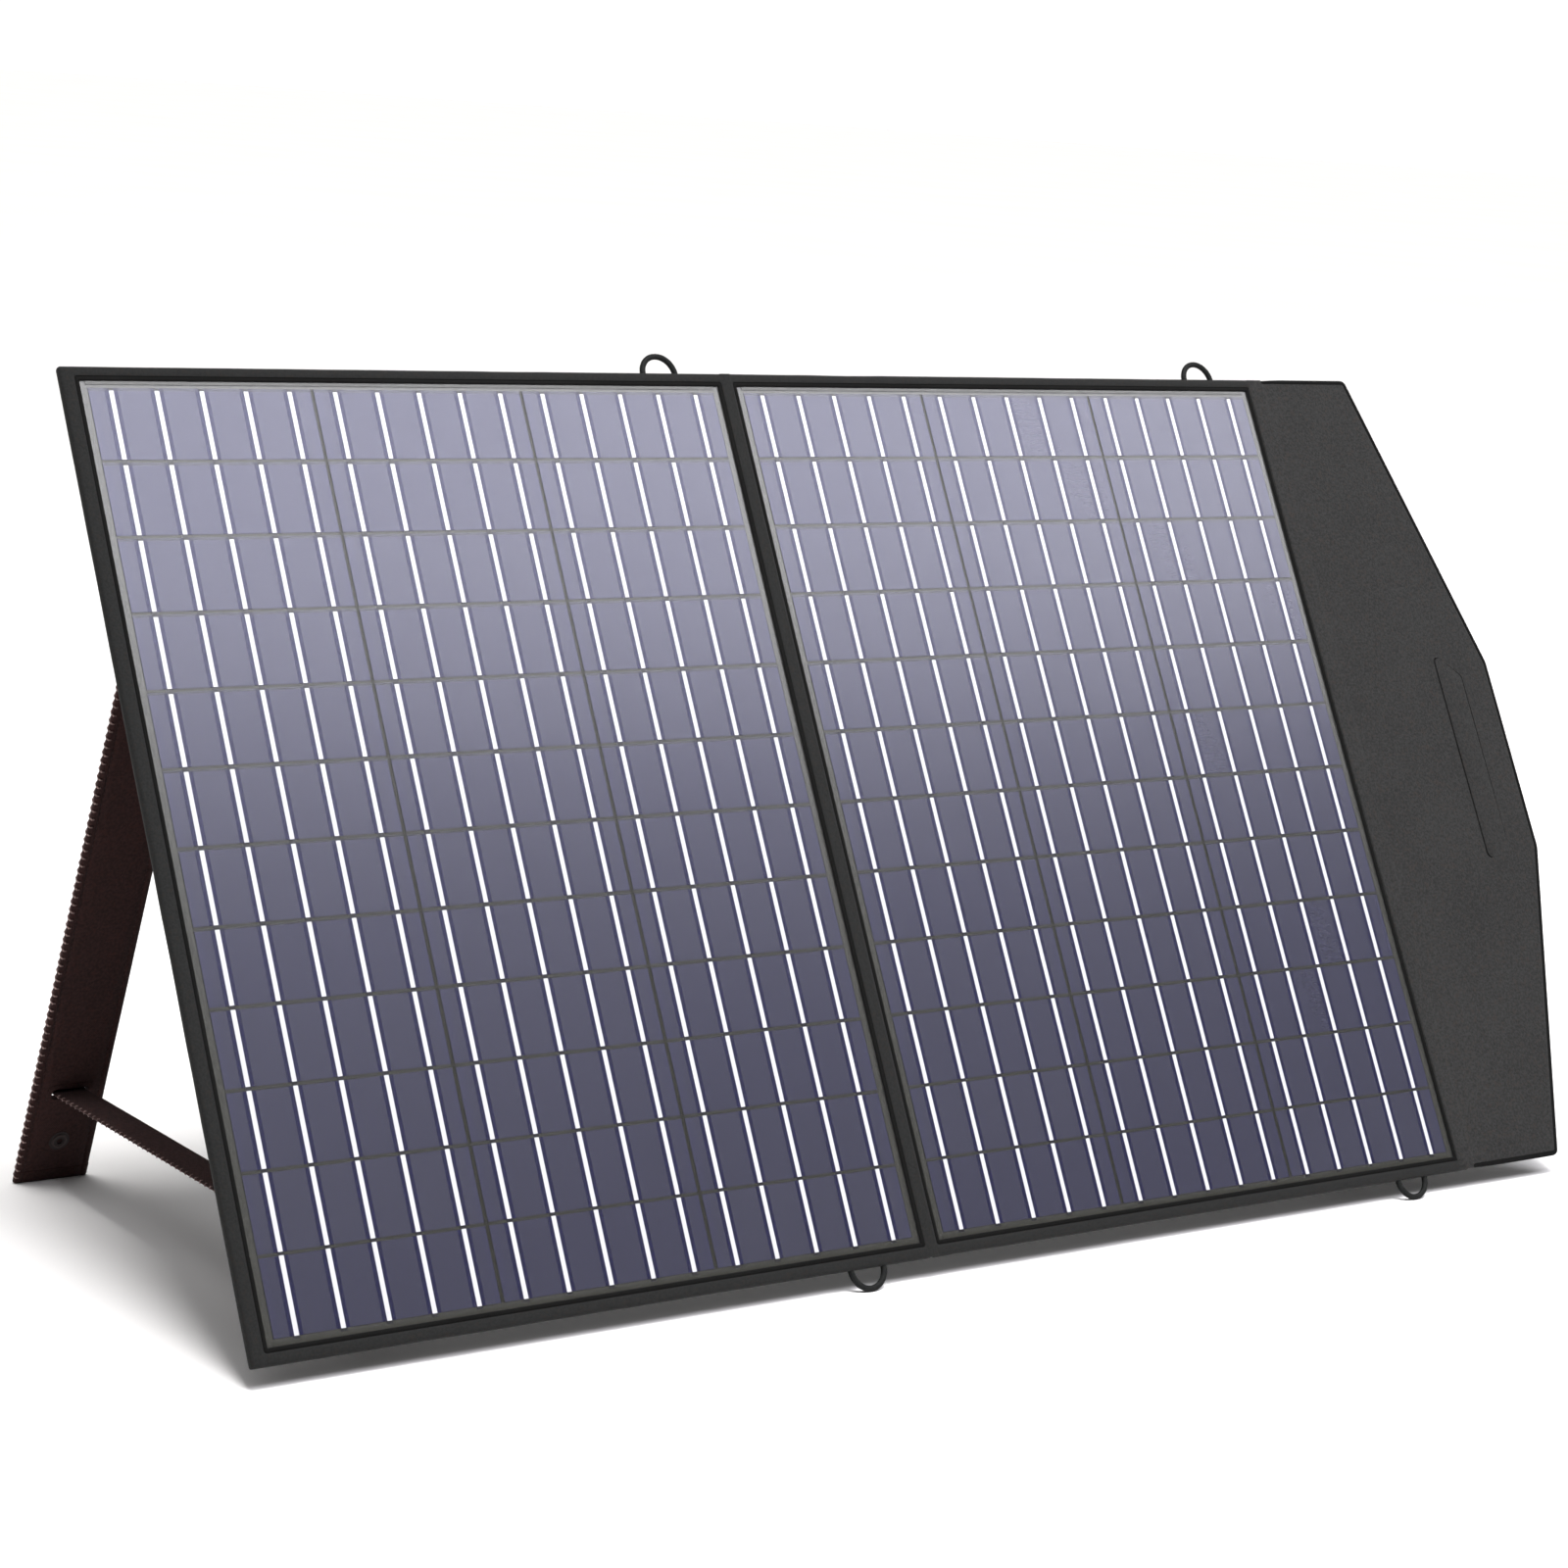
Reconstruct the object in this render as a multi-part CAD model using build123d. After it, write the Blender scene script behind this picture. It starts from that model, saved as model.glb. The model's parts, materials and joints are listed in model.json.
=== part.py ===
from build123d import *
import math
import os

# Folding two-panel solar charger on a fabric case, standing on two rear kickstand legs.
# Each panel is drawn flat in its own frame: u to the right, v up the panel and w out of its front face.
# u = 0 is the fold between the panels, v = 0 the lower edge of the case, w = 0 its front surface.
# The row frame has +X along u and +Z up, and the panels lean back towards +Y. All sizes in mm.

# ---- driving dimensions: the case and its lean ----
LEAN = 29.25                 # panel tilt from the vertical, degrees
CASE_HEIGHT = 634.4
CASE_INNER = 1.5             # case edge beside the fold, measured from u = 0
CASE_OUTER = 504.5           # outer case edge, measured from u = 0
CASE_THICK = 6.0

# ---- laminate: three columns of twelve quarter-cut cells behind a clear film ----
LAM_INNER = 8.0              # seen edge of the laminate nearest the fold
LAM_OUTER = 492.0
LAM_BOTTOM = 10.7
LAM_TOP = 624.7
LAM_HIDDEN = 3.0             # strip of laminate held under the bezel
CELL_WIDTH = 156.75
CELL_COLUMNS = 3
CELL_ROWS = 12
CELL_GAP = 2.0
CELL_BORDER = 4.6            # bare laminate above and below the cells
BUSBARS = 5
RIBBON_WIDTH = 3.2
RIBBON_GAP = 2.2             # break in each ribbon between two rows
BUS_STRIP = 2.2

# ---- depths of the layers, measured from the front surface ----
BEZEL_BACK = -0.5
FILM_BACK = -0.8
RIBBON_BACK = -1.0
CELL_BACK = -1.3
SHEET_BACK = -1.9
BOARD_BACK = -5.2
BINDING = 1.5                # fabric thickness round the edge of the case

# ---- cord loops on the top and bottom edges ----
LOOP_RADIUS = 13.3
LOOP_CORD_R = 2.0
LOOP_INSET = 45.4            # from the right-hand edge of each laminate
LOOP_W = -3.0

# ---- handle flap ----
FLAP_AXIS_U = 507.0
FLAP_GAP = 5.0
FLAP_SHOULDER_U = 600.0
FLAP_OUTER_U = 670.5
FLAP_OUTER_HALF = 76.8       # half length of the flap's straight outer edge
FLAP_THICK = 3.4
FLAP_SKIN = 0.7
FLAP_RIM = 1.6
HOLE_INNER_U = 612.6
HOLE_OUTER_U = 638.8
HOLE_INNER_HALF = 87.8
HOLE_OUTER_HALF = 65.8
HOLE_CORNER = 5.0
TONGUE_GAP = 0.4

# ---- kickstand legs ----
LEG_CENTRE = 440.0           # distance of each leg's centre line from the fold
LEG_WIDTH = 53.5
LEG_THICK = 4.0
LEG_LENGTH = 483.0           # hinge axis to foot edge
LEG_HINGE_V = 507.0
LEG_AXIS_W = -8.5
LEG_START = 2.0              # top edge of the leg below its hinge axis
LEG_SKIN = 0.8
LEG_SEAM = 2.0
FOOT_HEM = 8.0
SNAP_FROM_FOOT = 33.0
SLOT_FROM_FOOT = 73.0
SLOT_SIZE = (26.5, 8.5)
SLOT_LIP = 3.4
SLOT_WALL = 1.2
LIP_PROUD = 0.8
HINGE_PATCH = 44.0
HINGE_FABRIC = 0.9

# ---- stay straps ----
STRAP_WIDTH = 24.0
STRAP_THICK = 1.2
STRAP_FOOT_V = 69.5          # where the strap leaves the back of the panel
STRAP_AT_LEG = 70.8          # where it crosses the leg, from the foot
STRAP_TAIL_END = 112.0
PATCH_SIZE = (36.0, 40.0)

# ---- snaps ----
SNAP_HOLE_R = 2.2
SNAP_SHANK_R = 3.0
SNAP_CAP_R = 5.4
SNAP_RING_R = 7.4
STUD_R = 1.6

# ---- junction boxes and leads ----
BOX_U = 250.0
BOX_V = 470.0
BOX_SIZE = (96.0, 62.0, 13.0)
BOX_WALL = 2.4
LID_THICK = 2.2
SCREW_R = 2.6
GLAND_R = 6.5
GLAND_LENGTH = 16.0
LEAD_BORE_R = 3.0
LEAD_R = 2.5
LEAD_ARCH = 14.0
LEAD_V = 560.0

SIN = math.sin(math.radians(LEAN))
COS = math.cos(math.radians(LEAN))
BASE_V = LOOP_RADIUS + (LOOP_CORD_R - LOOP_W * SIN) / COS   # case edge above the floor line
HALF_HEIGHT = CASE_HEIGHT / 2


def on_panel(u, v, w):
    """Row position of a panel point, before the model is centred on its footprint."""
    return Vector(u, (BASE_V + v) * SIN - w * COS, (BASE_V + v) * COS + w * SIN)


HINGE = on_panel(0, LEG_HINGE_V, LEG_AXIS_W)
LEG_TILT = math.degrees(math.acos(HINGE.Z / LEG_LENGTH))    # leg angle from the vertical
FOLD_ANGLE = LEAN + LEG_TILT
FOOT_Y = HINGE.Y + LEG_LENGTH * math.sin(math.radians(LEG_TILT))
FOOT_BACK_Y = FOOT_Y + LEG_THICK * math.cos(math.radians(LEG_TILT))
FRONT_Y = on_panel(0, -LOOP_RADIUS, LOOP_W).Y - LOOP_CORD_R
CENTRE = Vector((FLAP_OUTER_U - CASE_OUTER) / 2, (FRONT_Y + FOOT_BACK_Y) / 2, 0)
PANEL_PLANE = Plane(
    origin=on_panel(0, 0, 0) - CENTRE,
    x_dir=(1, 0, 0),
    z_dir=(0, -COS, SIN),
)


def leg_plane(side):
    """Leg frame: u to the right, v up the leg with 0 on the hinge axis, w out of its front face."""
    tilt = math.radians(LEG_TILT)
    return Plane(
        origin=HINGE + Vector(side * LEG_CENTRE, 0, 0) - CENTRE,
        x_dir=(1, 0, 0),
        z_dir=(0, -math.cos(tilt), -math.sin(tilt)),
    )


def slab(u0, u1, v0, v1, w0, w1):
    """A block between two values along each axis."""
    size = Box(abs(u1 - u0), abs(v1 - v0), abs(w1 - w0))
    return Pos((u0 + u1) / 2, (v0 + v1) / 2, (w0 + w1) / 2) * size


def side_slab(side, near, far, v0, v1, w0, w1):
    """A block on the left (-1) or right (+1) panel, between two distances from the fold."""
    return slab(side * near, side * far, v0, v1, w0, w1)


def disc(u, v, w0, w1, radius):
    return Pos(u, v, (w0 + w1) / 2) * Cylinder(radius, abs(w1 - w0))


def save(name, shape, plane):
    """Places a shape drawn in a panel or leg frame and writes it as one node."""
    placed = plane.location * shape
    export_step(Compound(children=list(placed.solids())), f"parts/{name}.step")


def strip_profile(points, thickness):
    """Outline of a bent strip whose middle line follows the points."""
    upper = []
    lower = []
    for i, point in enumerate(points):
        before = (point - points[i - 1]).normalized() if i else None
        after = (points[i + 1] - point).normalized() if i + 1 < len(points) else None
        along = (before + after).normalized() if before and after else (before or after)
        square = Vector(-along.Y, along.X)
        turn = before.get_angle(along) if before and after else 0
        reach = thickness / 2 / math.cos(math.radians(turn))
        upper.append(point + square * reach)
        lower.append(point - square * reach)
    return Polygon(*[(p.X, p.Y) for p in upper + lower[::-1]], align=None)


# ---- panels ----


def case_ring(side, inset, width, w0, w1):
    """A flat ring that follows the edge of a case."""
    outer = side_slab(side, CASE_INNER + inset, CASE_OUTER - inset, inset, CASE_HEIGHT - inset, w0, w1)
    edge = inset + width
    inner = side_slab(side, CASE_INNER + edge, CASE_OUTER - edge, edge, CASE_HEIGHT - edge, w0, w1)
    return outer - inner


def laminate(side, grow, w0, w1):
    return side_slab(
        side, LAM_INNER - grow, LAM_OUTER + grow, LAM_BOTTOM - grow, LAM_TOP + grow, w0, w1
    )


def case_parts(side, name):
    """The fabric case, its stiffener and the foam strip round the laminate."""
    full = side_slab(side, CASE_INNER, CASE_OUTER, 0, CASE_HEIGHT, -CASE_THICK, BOARD_BACK)
    board = side_slab(
        side,
        CASE_INNER + BINDING,
        CASE_OUTER - BINDING,
        BINDING,
        CASE_HEIGHT - BINDING,
        BOARD_BACK,
        SHEET_BACK,
    )
    foam = side_slab(
        side,
        CASE_INNER + BINDING,
        CASE_OUTER - BINDING,
        BINDING,
        CASE_HEIGHT - BINDING,
        SHEET_BACK,
        BEZEL_BACK,
    )
    face = side_slab(side, CASE_INNER, CASE_OUTER, 0, CASE_HEIGHT, BEZEL_BACK, 0)
    save(f"{name}_back_cover", full, PANEL_PLANE)
    save(f"{name}_side_binding", case_ring(side, 0, BINDING, BOARD_BACK, BEZEL_BACK), PANEL_PLANE)
    save(f"{name}_stiffener_board", board, PANEL_PLANE)
    save(f"{name}_edge_foam", foam - laminate(side, LAM_HIDDEN, SHEET_BACK, BEZEL_BACK), PANEL_PLANE)
    save(f"{name}_front_bezel", face - laminate(side, 0, BEZEL_BACK, 0), PANEL_PLANE)


def cell_grid(side):
    """Centre and height of every cell on one panel."""
    pitch_u = CELL_WIDTH + CELL_GAP
    height = (LAM_TOP - LAM_BOTTOM - 2 * CELL_BORDER + CELL_GAP) / CELL_ROWS
    middle = side * (LAM_INNER + LAM_OUTER) / 2
    cells = []
    for column in range(CELL_COLUMNS):
        for row in range(CELL_ROWS):
            u = middle + (column - (CELL_COLUMNS - 1) / 2) * pitch_u
            v = LAM_BOTTOM + CELL_BORDER + (row + 0.5) * height - CELL_GAP / 2
            cells.append((u, v, height - CELL_GAP))
    return cells


def laminate_parts(side, name):
    """Backsheet, cells, soldered ribbons and clear film."""
    cells = []
    ribbons = []
    for u, v, height in cell_grid(side):
        w = (RIBBON_BACK + CELL_BACK) / 2
        cells.append(Pos(u, v, w) * Box(CELL_WIDTH, height, RIBBON_BACK - CELL_BACK))
        length = height + CELL_GAP - RIBBON_GAP
        for bar in range(BUSBARS):
            x = u + (bar - (BUSBARS - 1) / 2) * CELL_WIDTH / BUSBARS
            w = (RIBBON_BACK + FILM_BACK) / 2
            ribbons.append(Pos(x, v, w) * Box(RIBBON_WIDTH, length, FILM_BACK - RIBBON_BACK))
    for v in (LAM_BOTTOM + 0.2, LAM_TOP - 0.2 - BUS_STRIP):
        strip = side_slab(side, LAM_INNER + 4, LAM_OUTER - 4, v, v + BUS_STRIP, RIBBON_BACK, FILM_BACK)
        ribbons.append(strip)
    save(f"{name}_backsheet", laminate(side, LAM_HIDDEN, SHEET_BACK, CELL_BACK), PANEL_PLANE)
    save(f"{name}_solar_cells", Compound(children=cells), PANEL_PLANE)
    save(f"{name}_cell_ribbons", Compound(children=ribbons), PANEL_PLANE)
    save(f"{name}_front_film", laminate(side, LAM_HIDDEN, FILM_BACK, BEZEL_BACK), PANEL_PLANE)


def loop_parts(side, name):
    """One cord loop on each long edge of the case, sewn into the edge."""
    right_edge = LAM_OUTER if side > 0 else -LAM_INNER
    half_ring = Torus(LOOP_RADIUS, LOOP_CORD_R, major_angle=180, align=None)
    u = right_edge - LOOP_INSET
    save(f"{name}_top_loop", Pos(u, CASE_HEIGHT, LOOP_W) * half_ring, PANEL_PLANE)
    save(f"{name}_bottom_loop", Pos(u, 0, LOOP_W) * Rot(0, 0, 180) * half_ring, PANEL_PLANE)


def junction_parts(side, name):
    """Sealed connection box on the back of a panel, with its bypass diodes."""
    width, height, depth = BOX_SIZE
    back = -CASE_THICK
    centre = Pos(side * BOX_U, BOX_V, back - depth / 2)
    shell = fillet(Box(*BOX_SIZE).edges().filter_by(Axis.Z), 5)
    hollow = Pos(0, 0, -BOX_WALL) * Box(width - 2 * BOX_WALL, height - 2 * BOX_WALL, depth)
    body = centre * (shell - hollow)
    lid = fillet(Box(width, height, LID_THICK).edges().filter_by(Axis.Z), 5)
    lid = Pos(side * BOX_U, BOX_V, back - depth - LID_THICK / 2) * lid
    corners = [(x, y) for x in (-1, 1) for y in (-1, 1)]
    screws = []
    for x, y in corners:
        u = side * BOX_U + x * (width / 2 - 8)
        v = BOX_V + y * (height / 2 - 8)
        boss = disc(u, v, back - BOX_WALL, back - depth, 4)
        hole = disc(u, v, back - depth + 8, back - depth, 1.5)
        body = body + boss - hole
        lid = lid - disc(u, v, back - depth, back - depth - LID_THICK, 1.5)
        shank = disc(u, v, back - depth + 8, back - depth - LID_THICK, 1.5)
        head = disc(u, v, back - depth - LID_THICK, back - depth - LID_THICK - 1.4, SCREW_R)
        screws.append(shank + head)
    diodes = []
    for step in (-1, 0, 1):
        u = side * BOX_U + step * 22
        diodes.append(slab(u - 5, u + 5, BOX_V - 8, BOX_V + 8, back - BOX_WALL, back - BOX_WALL - 4.6))
    if side > 0:
        mouth = Rot(90, 0, 0) * Cylinder(LEAD_BORE_R, 3 * BOX_WALL)
        body = body - Pos(side * BOX_U, BOX_V - height / 2, back - depth / 2) * mouth
    save(f"{name}_junction_box", body, PANEL_PLANE)
    save(f"{name}_junction_lid", lid, PANEL_PLANE)
    save(f"{name}_junction_screws", Compound(children=screws), PANEL_PLANE)
    save(f"{name}_bypass_diodes", Compound(children=diodes), PANEL_PLANE)


def output_gland():
    """Gland where an output lead leaves the right junction box, pointing down the panel."""
    v = BOX_V - BOX_SIZE[1] / 2
    w = -CASE_THICK - BOX_SIZE[2] / 2
    nut = extrude(RegularPolygon(GLAND_R, 6), GLAND_LENGTH / 2)
    nose = Pos(0, 0, GLAND_LENGTH / 2) * Cone(
        GLAND_R * 0.8, GLAND_R * 0.62, GLAND_LENGTH / 2, align=(Align.CENTER, Align.CENTER, Align.MIN)
    )
    bore = Cylinder(LEAD_BORE_R, 3 * GLAND_LENGTH)
    save("output_gland", Pos(BOX_U, v, w) * Rot(90, 0, 0) * (nut + nose - bore), PANEL_PLANE)


# ---- things on the back that serve the legs ----


def leg_anchor_parts(side, name):
    """Snap stud, strap patch, hinge patch and the fabric that crosses the leg hinge."""
    u = side * LEG_CENTRE
    back = -CASE_THICK
    stud_v = LEG_HINGE_V - LEG_LENGTH + SNAP_FROM_FOOT
    base = disc(u, stud_v, back, back - 0.8, 5.5)
    post = disc(u, stud_v, back - 0.8, back - 2.2, STUD_R)
    patch_v = STRAP_FOOT_V + 3.2
    patch = slab(
        u - PATCH_SIZE[0] / 2,
        u + PATCH_SIZE[0] / 2,
        patch_v,
        patch_v + PATCH_SIZE[1],
        back,
        back - STRAP_THICK,
    )
    half = LEG_WIDTH / 2
    low = LEG_HINGE_V + 1.5
    hinge_patch = slab(u - half, u + half, low, low + HINGE_PATCH, back, back - 1.0)
    save(f"{name}_snap_stud", base + post, PANEL_PLANE)
    save(f"{name}_strap_patch", patch, PANEL_PLANE)
    save(f"{name}_leg_hinge_patch", hinge_patch, PANEL_PLANE)
    hinge = slab(-half, half, -LEG_START, 0.6, -1.2, -1.2 - HINGE_FABRIC)
    save(f"{name}_leg_hinge_fabric", hinge, leg_plane(side))


def leg_point(from_foot, depth):
    """Row position (Y, Z) of a point on a leg's middle line, before centring."""
    tilt = math.radians(LEG_TILT)
    down = LEG_LENGTH - from_foot
    y = HINGE.Y + down * math.sin(tilt) + depth * math.cos(tilt)
    z = HINGE.Z - down * math.cos(tilt) + depth * math.sin(tilt)
    return Vector(y, z)


def stay_strap(side, name):
    """Webbing from the back of the panel, through the leg's slot and sewn behind it."""
    middle = -CASE_THICK - STRAP_THICK / 2
    behind = LEG_THICK + LIP_PROUD + 0.2 + STRAP_THICK / 2
    start = on_panel(0, STRAP_FOOT_V + 3.2, middle)
    leave = on_panel(0, STRAP_FOOT_V, middle)
    points = [
        Vector(start.Y, start.Z),
        Vector(leave.Y, leave.Z),
        leg_point(STRAP_AT_LEG + 1.0, behind),
        leg_point(STRAP_TAIL_END, behind),
    ]
    outline = strip_profile(points, STRAP_THICK)
    plane = Plane(origin=(side * LEG_CENTRE - STRAP_WIDTH / 2, 0, 0), x_dir=(0, 1, 0), z_dir=(1, 0, 0))
    strap = extrude(plane * outline, STRAP_WIDTH, dir=(1, 0, 0))
    save(f"{name}_stay_strap", strap, Plane(origin=CENTRE * -1))


# ---- legs ----


def slot_block(grow, w0, w1):
    """Rounded block through a leg's strap slot, grown all round."""
    width = SLOT_SIZE[0] + 2 * grow
    height = SLOT_SIZE[1] + 2 * grow
    outline = RectangleRounded(width, height, min(width, height) * 0.4)
    v = SLOT_FROM_FOOT - LEG_LENGTH
    return Pos(0, v, min(w0, w1)) * extrude(outline, abs(w1 - w0))


def leg_parts(side, name):
    """Stiff leg: board in a sewn sleeve, with a strap slot, a snap and a hemmed foot."""
    half = LEG_WIDTH / 2
    foot = -LEG_LENGTH
    snap_v = foot + SNAP_FROM_FOOT
    shank = disc(0, snap_v, 0, -LEG_THICK, SNAP_SHANK_R)
    opening = slot_block(SLOT_WALL, 0.5, -LEG_THICK - 0.5)
    sleeve = slab(-half, half, foot + FOOT_HEM, -LEG_START, 0, -LEG_THICK)
    core = slab(
        -half + LEG_SEAM,
        half - LEG_SEAM,
        foot + FOOT_HEM,
        -LEG_START - LEG_SEAM,
        -LEG_SKIN,
        -LEG_THICK + LEG_SKIN,
    )
    hem = slab(-half, half, foot, foot + FOOT_HEM, 0, -LEG_THICK)
    rim = slot_block(SLOT_WALL, 0, -LEG_THICK)
    rim += slot_block(SLOT_LIP, 0, LIP_PROUD)
    rim += slot_block(SLOT_LIP, -LEG_THICK, -LEG_THICK - LIP_PROUD)
    rim -= slot_block(0, 2, -LEG_THICK - 2)
    snap = shank + disc(0, snap_v, 0, 0.5, SNAP_RING_R) + disc(0, snap_v, 0.5, 1.2, SNAP_CAP_R)
    snap += disc(0, snap_v, -LEG_THICK, -LEG_THICK - 0.9, SNAP_CAP_R)
    snap -= disc(0, snap_v, 1.2, -2.6, SNAP_HOLE_R)
    plane = leg_plane(side)
    save(f"{name}_leg_sleeve", sleeve - core - shank - opening, plane)
    save(f"{name}_leg_board", core - shank - opening, plane)
    save(f"{name}_leg_foot_hem", hem, plane)
    save(f"{name}_leg_slot_rim", rim, plane)
    save(f"{name}_leg_snap", snap, plane)


# ---- handle flap ----


def flap_outline(inset):
    """The flap's outline, drawn in from its edge."""
    slope = (HALF_HEIGHT - FLAP_OUTER_HALF) / (FLAP_OUTER_U - FLAP_SHOULDER_U)
    root = FLAP_AXIS_U + FLAP_GAP / 2 + inset
    outer = FLAP_OUTER_U - inset
    half = HALF_HEIGHT - inset
    lean = inset * math.hypot(1, slope)
    shoulder = FLAP_SHOULDER_U + (HALF_HEIGHT - half - lean) / slope
    tip = HALF_HEIGHT - lean - slope * (outer - FLAP_SHOULDER_U)
    points = [(root, half), (shoulder, half), (outer, tip), (outer, -tip), (shoulder, -half), (root, -half)]
    return Polygon(*points, align=None)


def hole_outline(grow):
    """The hand hole: a trapezoid with its long side towards the panel."""
    points = [
        (HOLE_INNER_U - grow, HOLE_INNER_HALF + grow),
        (HOLE_OUTER_U + grow, HOLE_OUTER_HALF + grow),
        (HOLE_OUTER_U + grow, -HOLE_OUTER_HALF - grow),
        (HOLE_INNER_U - grow, -HOLE_INNER_HALF - grow),
    ]
    return fillet(Polygon(*points, align=None).vertices(), HOLE_CORNER)


def flap_layer(outline, w0, w1):
    return Pos(0, HALF_HEIGHT, w0) * extrude(outline, w1 - w0, dir=(0, 0, 1))


def flap_parts():
    """Fabric handle flap: two skins on a stiffener, an edge rim and the push-through tongue."""
    sheet = flap_outline(FLAP_RIM)
    opened = sheet - hole_outline(TONGUE_GAP)
    save("flap_front_fabric", flap_layer(opened, -FLAP_SKIN, 0), PANEL_PLANE)
    save("flap_stiffener", flap_layer(opened, FLAP_SKIN - FLAP_THICK, -FLAP_SKIN), PANEL_PLANE)
    save("flap_back_fabric", flap_layer(opened, -FLAP_THICK, FLAP_SKIN - FLAP_THICK), PANEL_PLANE)
    save("flap_edge_rim", flap_layer(flap_outline(0) - sheet, -FLAP_THICK, 0), PANEL_PLANE)
    save("hand_hole_tongue", flap_layer(hole_outline(0), -FLAP_THICK, 0), PANEL_PLANE)


def folding_fabric():
    """Strips of fabric that bend at the fold and at the flap, and the lead across the fold."""
    fold = slab(-CASE_INNER, CASE_INNER, 0, CASE_HEIGHT, -1.2, -0.4)
    near = FLAP_AXIS_U - FLAP_GAP / 2
    flap = slab(near, near + FLAP_GAP, 0, CASE_HEIGHT, -0.8, -0.1)
    arch = Rot(-90, 0, 0) * Torus(LEAD_ARCH, LEAD_R, major_angle=180, align=None)
    save("fold_hinge_fabric", fold, PANEL_PLANE)
    save("flap_hinge_fabric", flap, PANEL_PLANE)
    save("fold_lead", Pos(0, LEAD_V, -CASE_THICK) * arch, PANEL_PLANE)


def main():
    os.makedirs("parts", exist_ok=True)
    for side, name in ((-1, "left"), (1, "right")):
        case_parts(side, name)
        laminate_parts(side, name)
        loop_parts(side, name)
        junction_parts(side, name)
        leg_anchor_parts(side, name)
        stay_strap(side, name)
        leg_parts(side, name)
    output_gland()
    flap_parts()
    folding_fabric()
    print("leg tilt", round(LEG_TILT, 3), "fold angle", round(FOLD_ANGLE, 3))
    print("centre shift", tuple(round(value, 3) for value in tuple(CENTRE)))


main()
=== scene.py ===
import bmesh
import bpy
import json
import math
from mathutils import Matrix, Vector, geometry, noise


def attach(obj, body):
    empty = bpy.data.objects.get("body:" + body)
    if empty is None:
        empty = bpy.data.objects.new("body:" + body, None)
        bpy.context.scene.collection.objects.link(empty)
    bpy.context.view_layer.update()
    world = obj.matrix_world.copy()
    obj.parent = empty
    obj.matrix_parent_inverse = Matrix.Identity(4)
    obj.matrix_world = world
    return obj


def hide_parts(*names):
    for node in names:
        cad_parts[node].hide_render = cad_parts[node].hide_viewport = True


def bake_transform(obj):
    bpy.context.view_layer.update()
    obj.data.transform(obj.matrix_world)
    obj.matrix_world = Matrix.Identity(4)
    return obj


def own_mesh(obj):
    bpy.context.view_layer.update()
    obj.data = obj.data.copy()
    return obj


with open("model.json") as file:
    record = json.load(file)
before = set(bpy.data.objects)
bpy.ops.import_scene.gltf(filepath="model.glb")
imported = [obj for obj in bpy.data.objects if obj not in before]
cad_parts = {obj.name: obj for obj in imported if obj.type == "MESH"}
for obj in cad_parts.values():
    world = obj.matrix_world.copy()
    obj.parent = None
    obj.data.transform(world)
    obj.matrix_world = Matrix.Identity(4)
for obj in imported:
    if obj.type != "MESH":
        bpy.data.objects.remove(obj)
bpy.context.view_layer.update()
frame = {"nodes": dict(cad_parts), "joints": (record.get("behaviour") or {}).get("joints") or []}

# Looks for the folding solar panel. Everything is in metres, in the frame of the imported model.
# On a panel, u runs right from the fold, v up the panel from the case's lower edge and w out of its face.

SIDES = ("left", "right")
JOINTS = {joint["name"]: joint for joint in frame["joints"]}

# ---- case ----
FILM_TUCK = 0.003            # strip of the film held under the bezel
BACK_TURN = 0.009            # binding turned over onto the back
EDGE_WANDER = 0.0005         # how far the sewn edges stray
FOLD_STRIP_HALF = 0.0046

# ---- cells ----
CELL_PITCH = 0.15875
RIBBON_PITCH = 0.03135
CELL_ROW_PITCH = 0.0504
GAP_HALF = 0.0010            # half the gap between two cells
EDGE_REACH = 0.0010          # bare edge of a cell, measured from the middle of the gap
COLUMN_REACH = 0.0013        # and the same beside the wider-looking gaps between columns
RIBBON_SHADE_EDGE = (0.0040, 0.0050)   # the painted shade beside a ribbon fades out here
COLUMN_TINT = (0.002, 0.009)   # a cell is bluer this near its side edges
FINGER_PITCH = 0.0018        # fine printed lines across a cell
SOLDER_REACH = 0.0008        # a ribbon dips out of sight this far from the middle of the gap

# ---- flap ----
SKIN_START = 0.0029          # the flap's skin begins this far outside the right laminate
SKIN_LIFT = 0.00066           # it lies this far above the right case
SKIN_SHY = 0.0005            # and stops this far short of the case's top and bottom
PIPING_WIDTH = 0.0038
FLAP_CORNER = 0.003
TONGUE_SLIT = 0.0020

# ---- leg and strap ----
SEAM_INSET = 0.0053
STRAP_EASE = 0.0010
OVERLOCK_PITCH = 0.0060
WHIP_PITCH = 0.0068
THREAD_R = 0.00050
OVERLOCK_R = 0.00062
FINE_THREAD_R = 0.00030
TAB_MARGIN = 0.0034          # from the edge of the strap's patch to its stitches
HINGE_MARGIN = 0.004         # and from the edge of the hinge cloth
STITCH_LENGTH = 0.0030
STITCH_PITCH = 0.0044
STITCH_RISE = 0.0004         # a stitch stands this proud of the cloth
STITCH_SINK = 0.8            # and its ends go this share of that into it

# ---- camera, fitted to the object's box ----
CAMERA_AZIMUTH = -36.20
CAMERA_ELEVATION = 10.905
CAMERA_ROLL = 4.008
CAMERA_DISTANCE = 2.5988
CAMERA_LENS = 84.25
CAMERA_AIM = Vector((-0.0520, 0.0377, 0.2849))


# ---- frames on the object ----


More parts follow.
